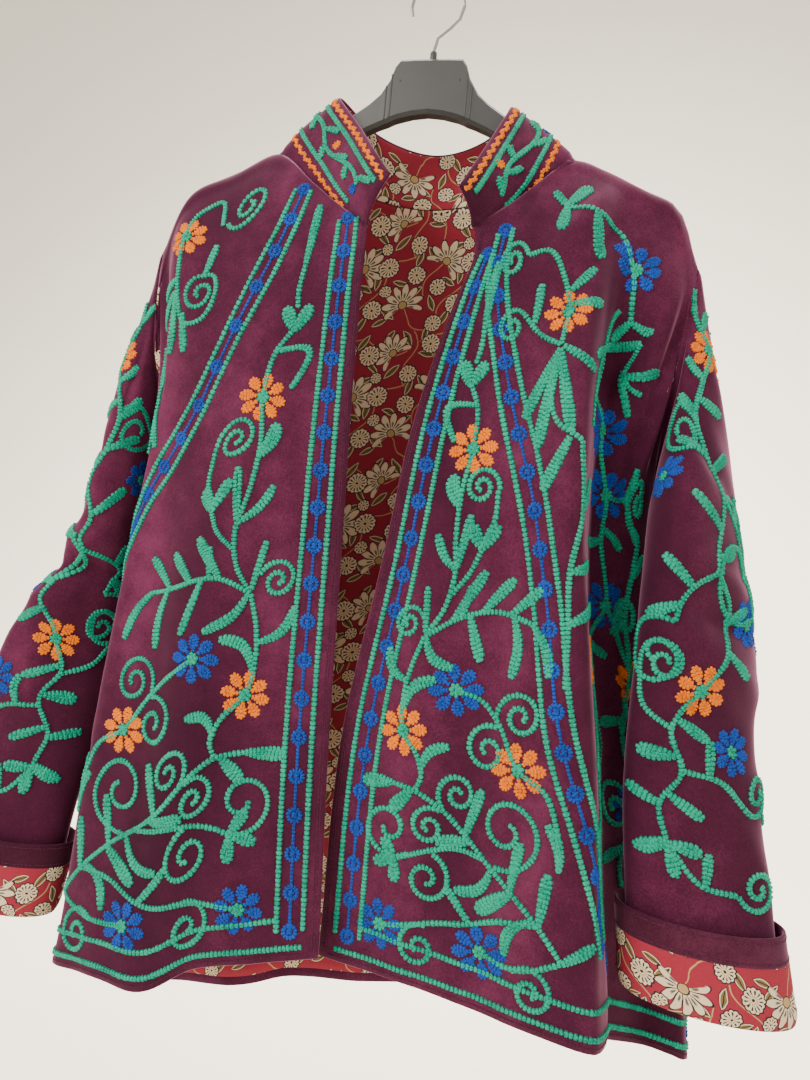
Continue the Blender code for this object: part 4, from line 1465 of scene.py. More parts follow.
# The left shoulder and the side beyond the deep fold
LEFT_SHOULDER = Layout(
    stems=(
        ((110, 655), (132, 652), (160, 648), (184, 642), (194, 616), (201, 604)),
        ((188, 600), (184, 566), (185, 542), (200, 518), (230, 500)),
        ((221, 597), (228, 580), (238, 562), (262, 558)), ((185, 542), (176, 505), (180, 470)),
        ((84, 600), (104, 606), (122, 582), (130, 556), (130, 525)),
        ((130, 522), (128, 488), (138, 462), (160, 452)),
        ((130, 525), (112, 532), (96, 545)),
        ((160, 452), (170, 400), (168, 350), (176, 300), (182, 262)),
        ((230, 500), (246, 478), (258, 460), (264, 420), (286, 368), (276, 330), (250, 296)),
        ((258, 460), (290, 470), (312, 452)), ((286, 368), (316, 350), (350, 318)),
        ((240, 300), (262, 250), (250, 200), (272, 150), (270, 100), (290, 60)),
        ((335, 440), (322, 380), (340, 320), (326, 260), (344, 200), (330, 140), (350, 90)),
    ),
    leaves=(
        (112, 656, 98, 668, 8, 0.0), (112, 656, 128, 682, 12, 0.0), (112, 654, 112, 628, 12, 0.0),
        (140, 650, 152, 612, 13, 0.0), (201, 604, 198, 572, 9, 0.0), (201, 604, 226, 610, 8, 0.0),
        (185, 542, 221, 597, 9, 0.0), (185, 542, 166, 526, 8, 0.0), (238, 562, 262, 580, 10, 0.1),
        (232, 566, 252, 536, 9, 0.0),
        (128, 575, 146, 600, 8, 0.0), (130, 562, 158, 568, 9, 0.0), (130, 522, 110, 462, 9, 0.0),
        (130, 522, 124, 440, 10, 0.0), (130, 522, 150, 456, 10, 0.0), (132, 524, 164, 512, 8, 0.0),
        (150, 452, 134, 408, 10, 0.0), (104, 541, 104, 575, 7, 0.0), (170, 400, 190, 428, 9, 0.0),
        (168, 350, 196, 362, 9, 0.0), (174, 310, 200, 330, 9, 0.0), (290, 470, 300, 500, 9, 0.0),
        (312, 452, 334, 440, 9, 0.0), (262, 430, 296, 428, 9, 0.1), (264, 420, 236, 396, 9, 0.1),
        (300, 362, 316, 386, 9, 0.0), (270, 318, 300, 322, 9, 0.0), (252, 275, 280, 296, 9, 0.0),
        (255, 225, 226, 208, 9, 0.0), (252, 200, 280, 216, 9, 0.0), (266, 165, 296, 180, 9, 0.0),
        (270, 110, 298, 130, 9, 0.0), (328, 410, 354, 430, 9, 0.0), (324, 370, 298, 350, 9, 0.0),
        (338, 325, 366, 340, 9, 0.0), (328, 275, 302, 256, 9, 0.0), (338, 225, 366, 240, 9, 0.0),
        (334, 160, 308, 140, 9, 0.0), (340, 120, 366, 136, 9, 0.0), (350, 90, 334, 58, 9, 0.0),
    ),
    curls=(
        (84, 600, 66, 594, 1.7), (96, 545, 82, 536, 1.6), (318, 348, 322, 372, -1.5),
        (250, 200, 268, 238, 1.5), (272, 150, 248, 140, 1.6), (312, 450, 318, 474, -1.6),
        (326, 260, 350, 272, -1.5), (344, 200, 322, 190, 1.6),
    ),
    flowers=(
        (190, 642, 21, Yarns.BLUE, 1.15), (130, 555, 20, Yarns.ORANGE, 1.0), (230, 500, 20, Yarns.BLUE, 1.3),
        (258, 460, 20, Yarns.BLUE, 1.4), (244, 292, 20, Yarns.ORANGE, 1.0), (286, 66, 20, Yarns.BLUE, 1.0),
        (350, 318, 20, Yarns.ORANGE, 1.2), (342, 204, 20, Yarns.BLUE, 1.0), (286, 368, 20, Yarns.BLUE, 1.2),
    ),
)

# One side of the back beside its middle border; the other side is its mirror image
BACK_FIELD = Layout(
    stems=(
        ((70, 690), (95, 660), (88, 620), (110, 580), (104, 530), (88, 492), (96, 450), (84, 400)),
        ((95, 660), (140, 668), (185, 648), (214, 610)),
        ((84, 400), (96, 350), (78, 300), (92, 250), (80, 200), (94, 150), (84, 100), (96, 60)),
        ((84, 400), (130, 425), (175, 430), (220, 410)),
        ((214, 610), (190, 560), (214, 510), (196, 470), (220, 410), (204, 350), (226, 300)),
        ((226, 300), (204, 250), (226, 200), (206, 150), (224, 100), (210, 60)),
        ((300, 420), (318, 360), (298, 300), (316, 240), (298, 180), (316, 120), (302, 70)),
        ((92, 250), (130, 262), (160, 246)),
    ),
    leaves=(
        (70, 690, 62, 728, 9, 0.0), (92, 655, 58, 640, 9, 0.1), (90, 618, 62, 598, 9, 0.1),
        (108, 582, 138, 604, 9, 0.0), (106, 545, 136, 552, 9, 0.1), (98, 515, 64, 520, 9, 0.0),
        (92, 470, 64, 448, 9, 0.0), (110, 412, 128, 456, 9, 0.0), (140, 426, 166, 464, 9, 0.0),
        (172, 430, 196, 456, 9, 0.0), (120, 420, 136, 384, 9, 0.0), (160, 430, 168, 382, 9, 0.0),
        (90, 372, 60, 352, 9, 0.0), (90, 335, 120, 352, 9, 0.0), (80, 300, 54, 278, 9, 0.0),
        (84, 285, 114, 296, 9, 0.1), (86, 212, 56, 232, 9, 0.0), (84, 190, 114, 208, 10, 0.0),
        (92, 160, 120, 136, 9, 0.0), (88, 130, 58, 118, 9, 0.0), (86, 95, 60, 76, 9, 0.0),
        (92, 78, 120, 92, 9, 0.0), (130, 667, 150, 700, 9, 0.0), (160, 662, 162, 624, 9, 0.0),
        (190, 645, 218, 668, 9, 0.0), (200, 580, 172, 592, 9, 0.0), (202, 535, 230, 552, 9, 0.0),
        (206, 495, 178, 500, 9, 0.0), (212, 430, 240, 448, 9, 0.0), (208, 370, 236, 384, 9, 0.0),
        (206, 345, 178, 334, 9, 0.0), (222, 310, 250, 322, 9, 0.0), (212, 270, 184, 280, 9, 0.0),
        (214, 225, 242, 240, 9, 0.0), (222, 190, 250, 178, 9, 0.0), (208, 140, 180, 152, 9, 0.0),
        (216, 118, 244, 130, 9, 0.0), (220, 85, 192, 74, 9, 0.0), (304, 405, 276, 420, 9, 0.0),
        (314, 375, 342, 390, 9, 0.0), (310, 330, 282, 340, 9, 0.0), (300, 290, 328, 300, 9, 0.0),
        (308, 262, 280, 254, 9, 0.0), (310, 220, 338, 232, 9, 0.0), (300, 175, 272, 188, 9, 0.0),
        (306, 150, 334, 160, 9, 0.0), (314, 110, 342, 96, 9, 0.0),
    ),
    curls=(
        (88, 620, 68, 572, -1.5), (104, 530, 132, 516, -1.7), (96, 450, 122, 470, -1.5),
        (78, 300, 56, 318, 1.6), (80, 200, 58, 182, 1.6), (94, 150, 122, 162, -1.6),
        (190, 560, 168, 546, 1.7), (196, 470, 222, 478, -1.6), (204, 350, 178, 306, 1.4),
        (204, 250, 180, 238, 1.6), (206, 150, 232, 152, -1.6), (298, 300, 272, 298, 1.5),
        (298, 180, 324, 192, -1.6), (160, 246, 152, 224, -1.6),
    ),
    flowers=(
        (106, 582, 20, Yarns.ORANGE, 1.0), (214, 612, 20, Yarns.BLUE, 1.0), (88, 400, 21, Yarns.ORANGE, 1.0),
        (220, 410, 20, Yarns.BLUE, 1.0), (140, 262, 20, Yarns.BLUE, 1.0), (92, 252, 20, Yarns.ORANGE, 1.0),
        (226, 300, 20, Yarns.ORANGE, 1.0), (94, 62, 20, Yarns.BLUE, 1.0), (210, 62, 21, Yarns.ORANGE, 1.0),
        (304, 426, 20, Yarns.ORANGE, 1.0), (316, 240, 20, Yarns.BLUE, 1.0), (302, 68, 20, Yarns.BLUE, 1.0),
    ),
    hearts=((220, 410, 246, 420, 11),),
    trefoils=((160, 246, 182, 236, 11),),
)

# One face of a sleeve from its head to above its cuff, across being towards the under-arm
SLEEVE_FIELD = Layout(
    stems=(
        ((20, 585), (36, 560), (28, 526), (48, 495), (62, 470), (60, 430), (55, 400)),
        ((55, 400), (30, 372), (20, 340)), ((55, 400), (66, 360), (68, 338)),
        ((68, 338), (92, 318), (100, 290)), ((68, 338), (48, 312), (52, 280), (72, 243)),
        ((72, 243), (88, 210), (80, 180), (96, 150), (92, 120)),
        ((80, 180), (50, 176), (28, 158)), ((88, 210), (112, 222), (124, 250)),
        ((92, 120), (70, 96), (40, 92)),
    ),
    leaves=(
        (34, 562, 62, 582, 10, 0.0), (30, 545, 4, 562, 9, 0.0), (44, 500, 70, 518, 9, 0.0),
        (56, 482, 30, 470, 10, 0.0), (62, 462, 90, 482, 12, 0.0), (60, 432, 88, 440, 9, 0.0),
        (58, 420, 34, 436, 9, 0.0), (62, 372, 92, 392, 9, 0.0), (64, 352, 40, 358, 9, 0.1),
        (36, 380, 16, 404, 8, 0.0), (90, 320, 116, 338, 9, 0.0), (96, 305, 122, 290, 10, 0.0),
        (50, 300, 24, 312, 9, 0.0), (54, 276, 30, 258, 9, 0.0), (84, 218, 58, 206, 9, 0.0),
        (84, 190, 112, 188, 12, 0.0), (90, 160, 64, 146, 9, 0.0), (94, 150, 122, 158, 9, 0.0),
        (92, 125, 118, 112, 9, 0.0), (60, 177, 56, 206, 8, 0.0), (66, 94, 62, 120, 8, 0.0),
    ),
    curls=(
        (55, 400, 34, 340, 1.4), (100, 290, 112, 262, -1.5), (28, 158, 12, 168, -1.6),
        (124, 250, 106, 258, 1.6), (40, 92, 22, 98, -1.6), (62, 470, 84, 448, -1.5),
    ),
    flowers=(
        (28, 526, 20, Yarns.ORANGE, 1.0), (72, 243, 21, Yarns.ORANGE, 1.0), (20, 300, 20, Yarns.BLUE, 1.0),
        (36, 200, 19, Yarns.BLUE, 1.0), (110, 402, 19, Yarns.BLUE, 1.0),
    ),
    trefoils=((92, 122, 88, 98, 11),),
)

# Routes of the dotted borders, from the neck down
RIGHT_SLANT = ((88, 662), (100, 615), (134, 534), (186, 452), (253, 378), (300, 330))
LEFT_SLANT = ((40, 622), (52, 575), (86, 500), (121, 416), (155, 322), (184, 227), (214, 155), (246, 70))

# Each front's field: its scale across and up, how high the edge's border and how far the hem's go
RIGHT_SCALE = (1.0, 1.0)
RIGHT_EDGE_TOP = 620.0
RIGHT_HEM_REACH = 385.0
LEFT_SCALE = (0.77, 0.925)
LEFT_EDGE_TOP = 600.0
LEFT_HEM_REACH = 425.0

# Each sleeve's two faces: front or back, and how far up the field is shifted, mm
LEFT_SLEEVE_FACES = ((1, 0.0), (-1, -12.0))
RIGHT_SLEEVE_FACES = ((1, 10.0), (-1, -8.0))

# A dotted border: how far its lines lie to each side, and its dots' spacing and radius
BORDER_HALF = 11.0
BEAD_SPACING = 31.0
BEAD_RADIUS = 7.6
EDGE_BORDER = 24.0
HEM_BORDER = 22.0

# Lines of thread along the hem and down the front edge, mm from the edge
HEM_STITCHING = (3.5,)
PLACKET_STITCHING = (3.0, 5.0)


def dotted_border(needle: Needlework, route: Sequence, spacing: float = BEAD_SPACING) -> None:
    """Two lines of stitches with a string of dots between them."""
    line = smooth_line(route)
    ahead = unit(np.gradient(line, axis=0))
    aside = np.stack([-ahead[:, 1], ahead[:, 0]], 1)
    for hand in (-BORDER_HALF, BORDER_HALF):
        needle.line(line + aside * hand)
    needle.beads(line, spacing, BEAD_RADIUS)


def front_needlework(
    cloth: Cloth, scale: Sequence, slant: Sequence, shoulder: Layout, edge_top: float, side: float
) -> Needlework:
    """All the embroidery of one front.

    Args:
        cloth: the front.
        scale: of the field between the borders.
        slant: the slanting border's route.
        shoulder: what lies beyond it.
        edge_top: how high the straight border reaches, mm.
        side: how far across the hem's border runs, mm.
    """
    needle = Needlework(cloth)
    FRONT_FIELD.work(needle, scale)
    shoulder.work(needle)
    dotted_border(needle, slant)
    dotted_border(needle, ((EDGE_BORDER, edge_top), (EDGE_BORDER, 300.0), (EDGE_BORDER, HEM_BORDER)))
    needle.line(smooth_line(((EDGE_BORDER + BORDER_HALF, 33.0), (side / 2, 30.0), (side, 30.0))))
    needle.line(smooth_line(((EDGE_BORDER - BORDER_HALF, 10.0), (side / 2, 10.0), (side, 10.0))))
    for hem in HEM_STITCHING:
        needle.line(smooth_line(((8.0, hem), (side / 2, hem), (side, hem))), Yarns.THREAD)
    for edge in PLACKET_STITCHING:
        needle.line(smooth_line(((edge, 6.0), (edge, 300.0), (edge, edge_top + 30.0))), Yarns.THREAD)
    return needle


def back_needlework(cloth: Cloth) -> Needlework:
    """All the embroidery of the back: a border down its middle and the same field on each side."""
    needle = Needlework(cloth)
    for needle.mirror in (1, -1):
        BACK_FIELD.work(needle)
        dotted_border(needle, ((0.0, 30.0), (40.0, 24.0), (200.0, 22.0), (360.0, 22.0)), 38.0)
    needle.mirror = 1
    dotted_border(needle, ((0.0, 760.0), (0.0, 400.0), (0.0, 52.0)))
    return needle


def sleeve_needlework(cloth: Cloth, hands: Sequence) -> Needlework:
    """All the embroidery of a sleeve, the same field on its front and its back."""
    needle = Needlework(cloth)
    for needle.mirror, rise in hands:
        SLEEVE_FIELD.work(needle, (1.0, 1.0), (0.0, rise))
    return needle


def zigzag(first: float, last: float, up: float, depth: float, pitch: float) -> Points:
    """A wavy zigzag line across a piece of cloth."""
    across = np.arange(first, last, 1.0)
    return np.stack([across, up + depth * np.sin(across / pitch * 2 * math.pi)], 1)


# The collar's needlework, mm: how far round it reaches, then distances from the top edge
COLLAR_REACH = (-250.0, 276.0)
COLLAR_ZIGZAGS = (5.5, 54.0)
COLLAR_LINES = (13.0, 45.0)
COLLAR_VINE = 29.0

# The collar's zigzags and its vine: how far they swing and how far apart their turns are
ZIGZAG_SWING = 1.9
ZIGZAG_PITCH = 11.0
VINE_SWING = 5.0
VINE_PITCH = 88.0
VINE_LEAVES = 22.0


def collar_needlework(cloth: Cloth) -> Needlework:
    """The stand collar's two zigzags, its lines and the vine between them."""
    needle = Needlework(cloth)
    low, high = COLLAR_REACH
    for up in COLLAR_ZIGZAGS:
        needle.line(zigzag(low + 6, high - 6, up, ZIGZAG_SWING, ZIGZAG_PITCH), Yarns.ORANGE)
    for up in COLLAR_LINES:
        needle.line(zigzag(low + 6, high - 6, up, 0.0, 10.0))
    needle.line(zigzag(low + 14, high - 14, COLLAR_VINE, VINE_SWING, VINE_PITCH))
    for index, across in enumerate(np.arange(low + 20, high - 14, VINE_LEAVES)):
        up = COLLAR_VINE + VINE_SWING * math.sin(across / VINE_PITCH * 2 * math.pi)
        hand = 1 if index % 2 else -1
        needle.leaf((across, up), (across + 13, up + 9 * hand), 6.5, 0.1 * hand)
        if index % 3 == 1:
            needle.dot((across + 8, up - 8 * hand), 5.5, Yarns.ORANGE if index % 2 else Yarns.BLUE)
    return needle


# The printed cotton's repeat, mm, and its colours
PRINT_WIDTH = 82.0
PRINT_HEIGHT = 127.0

# How close the motifs lie, their places being drawn on a wider repeat
PACKING = PRINT_WIDTH / 98.0

MADDER = (0.25, 0.012, 0.032)
MADDER_PALE = (0.34, 0.032, 0.052)
CREAM = (0.72, 0.58, 0.40)
INK = (0.022, 0.014, 0.020)
OLIVE = (0.20, 0.135, 0.045)
SAND = (0.46, 0.30, 0.13)


class Print:
    """Madder red cotton, block-printed with cream flowers, olive leaves and black outlines.

    Each motif is a formula in the cloth's own flat coordinates, in millimetres from the
    motif's middle, and comes again in every repeat.
    """

    def __init__(self, name: str) -> None:
        self.paint = Paint(name)
        place = self.paint.cloth_place((1000.0, 1000.0, 1000.0))
        wobble = self.paint.noise(place, 0.09, 2.0) - 0.5
        self.across = self.paint.node("SeparateXYZ", "X", Vector=place) + wobble * 3.0
        self.up = self.paint.node("SeparateXYZ", "Y", Vector=place) - wobble * 3.0
        self.blot = self.paint.noise(place, 0.55, 3.0, 0.65)
        self.colour = self.paint.mix(self.blot, MADDER, MADDER_PALE)

    def around(self, across: float, up: float, turn: float = 0.0) -> tuple[Shade, Shade]:
        """Coordinates from a motif's middle, turned to the left by so many degrees."""
        dx = (self.across - across * PACKING).wrapped(-PRINT_WIDTH / 2, PRINT_WIDTH / 2)
        dy = (self.up - up * PACKING).wrapped(-PRINT_HEIGHT / 2, PRINT_HEIGHT / 2)
        c, s = math.cos(math.radians(turn)), math.sin(math.radians(turn))
        return dx * c + dy * s, dy * c - dx * s

    def over(self, share: Shade, colour: Colour) -> None:
        """Prints a colour over what is there."""
        self.colour = self.paint.mix(share, self.colour, colour)

    def head(self, across: float, up: float, radius: float, rays: int = 13) -> None:
        """A round flower head with a scalloped edge and two rings of black flecks."""
        dx, dy = self.around(across, up)
        far = (dx * dx + dy * dy).root()
        angle = dy.math("ARCTAN2", dy, dx)
        scallop = (angle * (rays / 2)).wave().size() * (radius * 0.14)
        outside = far - scallop - radius * 0.86
        self.over(outside.step(1.3, 0.9), INK)
        self.over(outside.step(0.1, -0.2), CREAM)
        flecks = (angle * float(rays)).wave().step(0.1, 0.5)
        self.over(flecks * (far - radius * 0.64).size().step(radius * 0.20, radius * 0.13), INK)
        flecks = (angle * (rays * 0.5) + 1.0).wave().size().step(0.55, 0.8)
        self.over(flecks * (far - radius * 0.33).size().step(radius * 0.14, radius * 0.08), SAND)
        self.over(far.step(radius * 0.17, radius * 0.11), INK)

    def fan(self, across: float, up: float, radius: float, turn: float, petals: float = 11.0) -> None:
        """A large open flower seen from its side, with long petals over a small rosette."""
        x, y = self.around(across, up, turn)
        far = (x * x + y * y).root()
        angle = y.math("ARCTAN2", y, x)
        lobes = (angle * (petals / 2)).wave().size()
        outside = far - lobes * (radius * 0.42) - radius * 0.56
        spread = angle.size().step(2.15, 2.05)
        self.over(outside.step(1.5, 1.0) * spread, INK)
        self.over(outside.step(0.0, -0.4) * lobes.step(0.22, 0.36) * spread, CREAM)
        shaded = (far - radius * 0.42).size().step(radius * 0.18, radius * 0.06)
        self.over(lobes.step(0.80, 0.93) * shaded * spread * 0.85, INK)
        self.over(far.step(radius * 0.24, radius * 0.18), SAND)
        self.over((far - radius * 0.2).size().step(0.6, 0.3), INK)

    def leaf(self, across: float, up: float, length: float, width: float, turn: float) -> None:
        """An olive leaf with a pale rim and a dark midrib."""
        x, y = self.around(across, up, turn)
        outside = y.size() - (1.0 - x * x * (1.0 / length**2)) * width
        self.over(outside.step(1.3, 0.9), INK)
        self.over(outside.step(0.7, 0.3), CREAM)
        self.over(outside.step(-0.1, -0.5), OLIVE)
        self.over(y.size().step(0.55, 0.25) * outside.step(0.0, -0.4), INK)

    def tendril(self, across: float, up: float, length: float, rise: float, turn: float) -> None:
        """A thin wavy stalk."""
        x, y = self.around(across, up, turn)
        line = (y - (x * (2 * math.pi / length)).wave() * rise).size().step(0.75, 0.35)
        self.over(line * x.size().step(length / 2, length / 2 - 1.0), SAND)

    def make(self) -> bpy.types.Material:
        """Prints all the motifs, then gives the cloth its weave."""
        for across, up, length, rise, turn in (
            (20, 20, 62, 7, 35), (64, 40, 70, 8, 110), (34, 84, 60, 6, -30), (78, 104, 66, 8, 60),
            (50, 134, 64, 7, 10), (10, 118, 56, 6, 95), (88, 66, 48, 5, -70),
        ):
            self.tendril(across, up, length, rise, turn)
        for across, up, length, width, turn in (
            (42, 22, 9, 2.8, 40), (50, 12, 7, 2.4, -20), (72, 12, 9, 2.7, 120), (88, 30, 8, 2.6, 70),
            (12, 44, 9, 2.8, 150), (28, 56, 8, 2.5, 20), (56, 62, 9, 2.8, 100), (70, 54, 7, 2.3, 30),
            (90, 88, 9, 2.8, 60), (8, 84, 8, 2.6, 110), (30, 104, 9, 2.8, -40), (62, 96, 8, 2.5, 160),
            (54, 112, 9, 2.6, 50), (88, 122, 8, 2.6, 10), (14, 142, 9, 2.8, 60), (36, 146, 7, 2.4, 130),
            (66, 142, 9, 2.6, -50), (92, 146, 7, 2.4, 100),
        ):
            self.leaf(across, up, length, width, turn)
        for across, up, radius, turn in ((24, 30, 21, 80), (74, 78, 22, 130), (30, 126, 19, 50)):
            self.fan(across, up, radius, turn)
        for across, up, radius, rays in (
            (60, 28, 9.5, 13), (10, 64, 9, 12), (44, 76, 10, 14), (82, 48, 8, 11), (10, 100, 8.5, 12),
            (58, 126, 10, 14), (84, 134, 9, 13), (84, 6, 8, 12), (46, 48, 6, 9), (48, 98, 5.5, 9),
        ):
            self.head(across, up, radius, rays)
        paint = self.paint
        threads = paint.noise(paint.cloth_place((1.0, 6.0, 1.0)), 900.0, 2.0)
        threads = threads * 0.5 + paint.noise(paint.cloth_place((6.0, 1.0, 1.0)), 900.0, 2.0) * 0.5
        worn = (self.blot * 0.6 + threads * 0.5).step(0.62, 0.95) * 0.35
        paint.set(
            Base_Color=paint.mix(worn, self.colour, MADDER_PALE),
            Roughness=0.82,
            Specular_IOR_Level=0.2,
            Normal=paint.bump(threads, 0.25, 0.0003),
        )
        return paint.material


@dataclass(frozen=True)
class Moulded:
    """Dark grey moulded plastic with a satin skin and small scuffs."""

    name: str
    colour: Colour
    worn: Colour

    def make(self) -> bpy.types.Material:
        """Builds the material."""
        paint = Paint(self.name)
        place = paint.place()
        cloud = paint.noise(place, 30.0, 3.0)
        grain = paint.noise(place, 1800.0, 2.0)
        scuffs = paint.noise(paint.place((1.0, 1.0, 8.0)), 160.0, 4.0, 0.7).step(0.62, 0.75)
        paint.set(
            Base_Color=paint.mix(scuffs * 0.5 + cloud * 0.3, self.colour, self.worn),
            Roughness=scuffs * 0.2 + grain * 0.15 + 0.32,
            Specular_IOR_Level=0.5,
            Normal=paint.bump(grain * 0.6 + scuffs * 0.4, 0.15, 0.0002),
        )
        return paint.material


@dataclass(frozen=True)
class Drawn:
    """Bright steel wire with fine lines along its length."""

    name: str
    colour: Colour

    def make(self) -> bpy.types.Material:
        """Builds the material."""
        paint = Paint(self.name)
        lines = paint.noise(paint.place((1.0, 1.0, 0.08)), 1500.0, 3.0, 0.6)
        dull = paint.noise(paint.place(), 120.0, 3.0)
        paint.set(
            Base_Color=paint.mix(dull * 0.6, self.colour, (0.20, 0.195, 0.185)),
            Metallic=1.0,
            Roughness=lines * 0.2 + dull * 0.12 + 0.12,
            Normal=paint.bump(lines, 0.2, 0.0001),
        )
        return paint.material


@dataclass(frozen=True)
class HangerMarks:
    """The ridges, the small holes on both faces of the hanger as near-black discs of painted shade, and the
    hook's ferrule.

    Attributes:
        plastic: the ridges' material.
        hollow: the near-black material of the hole discs, painted shade where the holes are.
        ridges: distance from the middle, highest and lowest point of each ridge, mm.
        hole_place: distance from the middle and height of a hole, mm.
        ferrule: its lowest and highest point and its radius, mm.
    """

    plastic: bpy.types.Material
    hollow: bpy.types.Material
    ridges: tuple = ((34.3, -87.0, -125.5), (38.8, -97.5, -127.5))
    ridge_radius: float = 0.7
    hole_place: tuple[float, float] = (27.0, -93.0)
    hole_radius: float = 1.2
    face: float = 7.45
    ferrule: tuple[float, float, float] = (-73.0, -63.5, 3.1)

    def build(self) -> None:
        """Makes the marks on the front and the back, on both sides of the middle."""
        low, high, radius = self.ferrule
        self.rod("hanger_ferrule", (0.0, 0.0, (low + high) / 2), high - low, radius, False, self.plastic)
        for way, front in (("front", -1), ("back", 1)):
            for side, hand in (("left", 1), ("right", -1)):
                for number, (across, top, bottom) in enumerate(self.ridges, 1):
                    middle = (across * hand, self.face * front, (top + bottom) / 2)
                    name = f"hanger_ridge_{way}_{side}_{number}"
                    self.rod(name, middle, top - bottom, self.ridge_radius, False, self.plastic)
                # Each hole is a thin near-black disc on the face: painted shade where a hole would be, not a
                # cut hole.
                across, up = self.hole_place
                middle = (across * hand, self.face * front, up)
                self.rod(f"hanger_hole_{way}_{side}", middle, 0.3, self.hole_radius, True, self.hollow)

    def rod(
        self, name: str, middle: Sequence, length: float, radius: float, facing: bool, stuff: object
    ) -> None:
        """A short round rod with softened ends.

        Args:
            name: the piece's name.
            middle: its middle, mm.
            length, radius: its size, mm.
            facing: whether its ends face to the front and the back.
            stuff: its material.
        """
        bpy.ops.object.select_all(action="DESELECT")
        bpy.ops.mesh.primitive_cylinder_add(
            vertices=16, radius=radius * MM, depth=length * MM,
            location=Vector(middle) * MM, rotation=(math.pi / 2 if facing else 0.0, 0.0, 0.0),
        )
        piece = bpy.context.object
        piece.name = name
        bpy.ops.object.transform_apply(location=True, rotation=True, scale=True)
        soften = piece.modifiers.new("soften", "BEVEL")
        soften.width = min(radius, length) * 0.3 * MM
        soften.segments = 2
        bpy.ops.object.modifier_apply(modifier=soften.name)
        bpy.ops.object.shade_smooth_by_angle(angle=math.radians(40.0))
        piece.data.materials.append(stuff)
        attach(piece, BODY)


@dataclass
class Studio:
    """The pale floor, which sweeps up behind the jacket, the soft lights and the camera."""

    floor_height: float = -1.75
    floor_size: float = 24.0
    sweep_start: float = 3.0
    sweep_rise: float = 0.14
    floor_colour: Colour = (0.88, 0.82, 0.71)
    world_colour: Colour = (0.95, 0.90, 0.80)
    world_strength: float = 1.2
    lamp_colour: Colour = (1.0, 0.95, 0.87)

    def build(self) -> None:
        """Makes everything round the jacket."""
        self.floor()
        self.world()
        self.lamp("key_light", (-1.5, -2.1, 0.55), (0.0, 0.0, -0.55), 1.5, 76.0)
        self.lamp("fill_light", (2.0, -1.9, -0.1), (0.0, 0.0, -0.6), 2.0, 15.0)
        self.lamp("back_light", (0.6, 2.4, 0.7), (0.0, 0.0, -0.5), 1.6, 26.0)
        self.lamp("sweep_light", (0.0, 1.4, 3.2), (0.0, 8.0, 0.0), 4.0, 1700.0)
        self.camera()

    def floor(self) -> None:
        """A plain pale floor that sweeps up far behind, so that no horizon shows."""
        bpy.ops.object.select_all(action="DESELECT")
        bpy.ops.mesh.primitive_grid_add(
            x_subdivisions=8, y_subdivisions=96, size=self.floor_size,
            location=(0.0, 0.0, self.floor_height),
        )
        piece = bpy.context.object
        piece.name = "floor"
        for corner in piece.data.vertices:
            corner.co.z += self.sweep_rise * max(corner.co.y - self.sweep_start, 0.0) ** 2
        bpy.ops.object.shade_smooth()
        paint = Paint("pale_floor")
        cloud = paint.noise(paint.place(), 0.8, 3.0)
        paint.set(
            Base_Color=paint.mix(cloud, self.floor_colour, tuple(c * 0.96 for c in self.floor_colour)),
            Roughness=0.9,
        )
        piece.data.materials.append(paint.material)

    def world(self) -> None:
        """Soft light from all round."""
        world = bpy.data.worlds.new("studio")
        bpy.context.scene.world = world
        world.use_nodes = True
        background = world.node_tree.nodes["Background"]
        background.inputs["Color"].default_value = (*self.world_colour, 1.0)
        background.inputs["Strength"].default_value = self.world_strength

    def lamp(
        self, name: str, place: Sequence, target: Sequence, size: float, power: float
    ) -> None:
        """A square soft light, in metres and watts."""
        light = bpy.data.lights.new(name, "AREA")
        light.size = size
        light.energy = power
        light.color = self.lamp_colour
        lamp = bpy.data.objects.new(name, light)
        bpy.context.scene.collection.objects.link(lamp)
        lamp.location = place
        lamp.rotation_euler = (Vector(target) - Vector(place)).to_track_quat("-Z", "Y").to_euler()

    def camera(self) -> None:
        """The camera, level, turned to the jacket's left and rolled a little."""
        turn, roll = math.radians(CAMERA_TURN), math.radians(CAMERA_ROLL)
        ahead = Vector((-math.sin(turn), math.cos(turn), 0.0))
        level = Vector((math.cos(turn), math.sin(turn), 0.0))
        right = level * math.cos(roll) + Vector((0.0, 0.0, math.sin(roll)))
        up = right.cross(ahead)
        data = bpy.data.cameras.new("camera")
        data.sensor_width = SENSOR_WIDTH
        data.lens = LENS
        data.clip_start = 0.02
        camera = bpy.data.objects.new("camera", data)
        bpy.context.scene.collection.objects.link(camera)
        axes = Matrix((right, up, -ahead)).transposed().to_4x4()
        camera.matrix_world = Matrix.Translation(Vector(CAMERA_PLACE) * MM) @ axes
        bpy.context.scene.camera = camera


VELVET_SHEEN = (0.92, 0.40, 0.66)

# The edges of each piece that are sewn to other cloth
SEWN_EDGES = {
    "left_front": ("top", "last"),
    "right_front": ("top", "last"),
    "back": ("top", "first", "last"),
    "collar": ("top",),
    "left_sleeve": ("top",),
    "right_sleeve": ("top",),
}
TURNED_HEMS = {"left_front": ("bottom",), "right_front": ("bottom",), "back": ("bottom",)}
REPLACED = {
    "left_sleeve": ("left_sleeve_front", "left_sleeve_back"),
    "right_sleeve": ("right_sleeve_front", "right_sleeve_back"),
}


# What each panel hangs from, and the share of the back's cut that its lining takes
RESTS_ON = {
    "left_front": "hanger_body",
    "right_front": "hanger_body",
    "back": "hanger_body",
    "collar": "back",
    "left_sleeve": "left_front",
    "right_sleeve": "right_front",
}
LINING_SHARE = 0.8


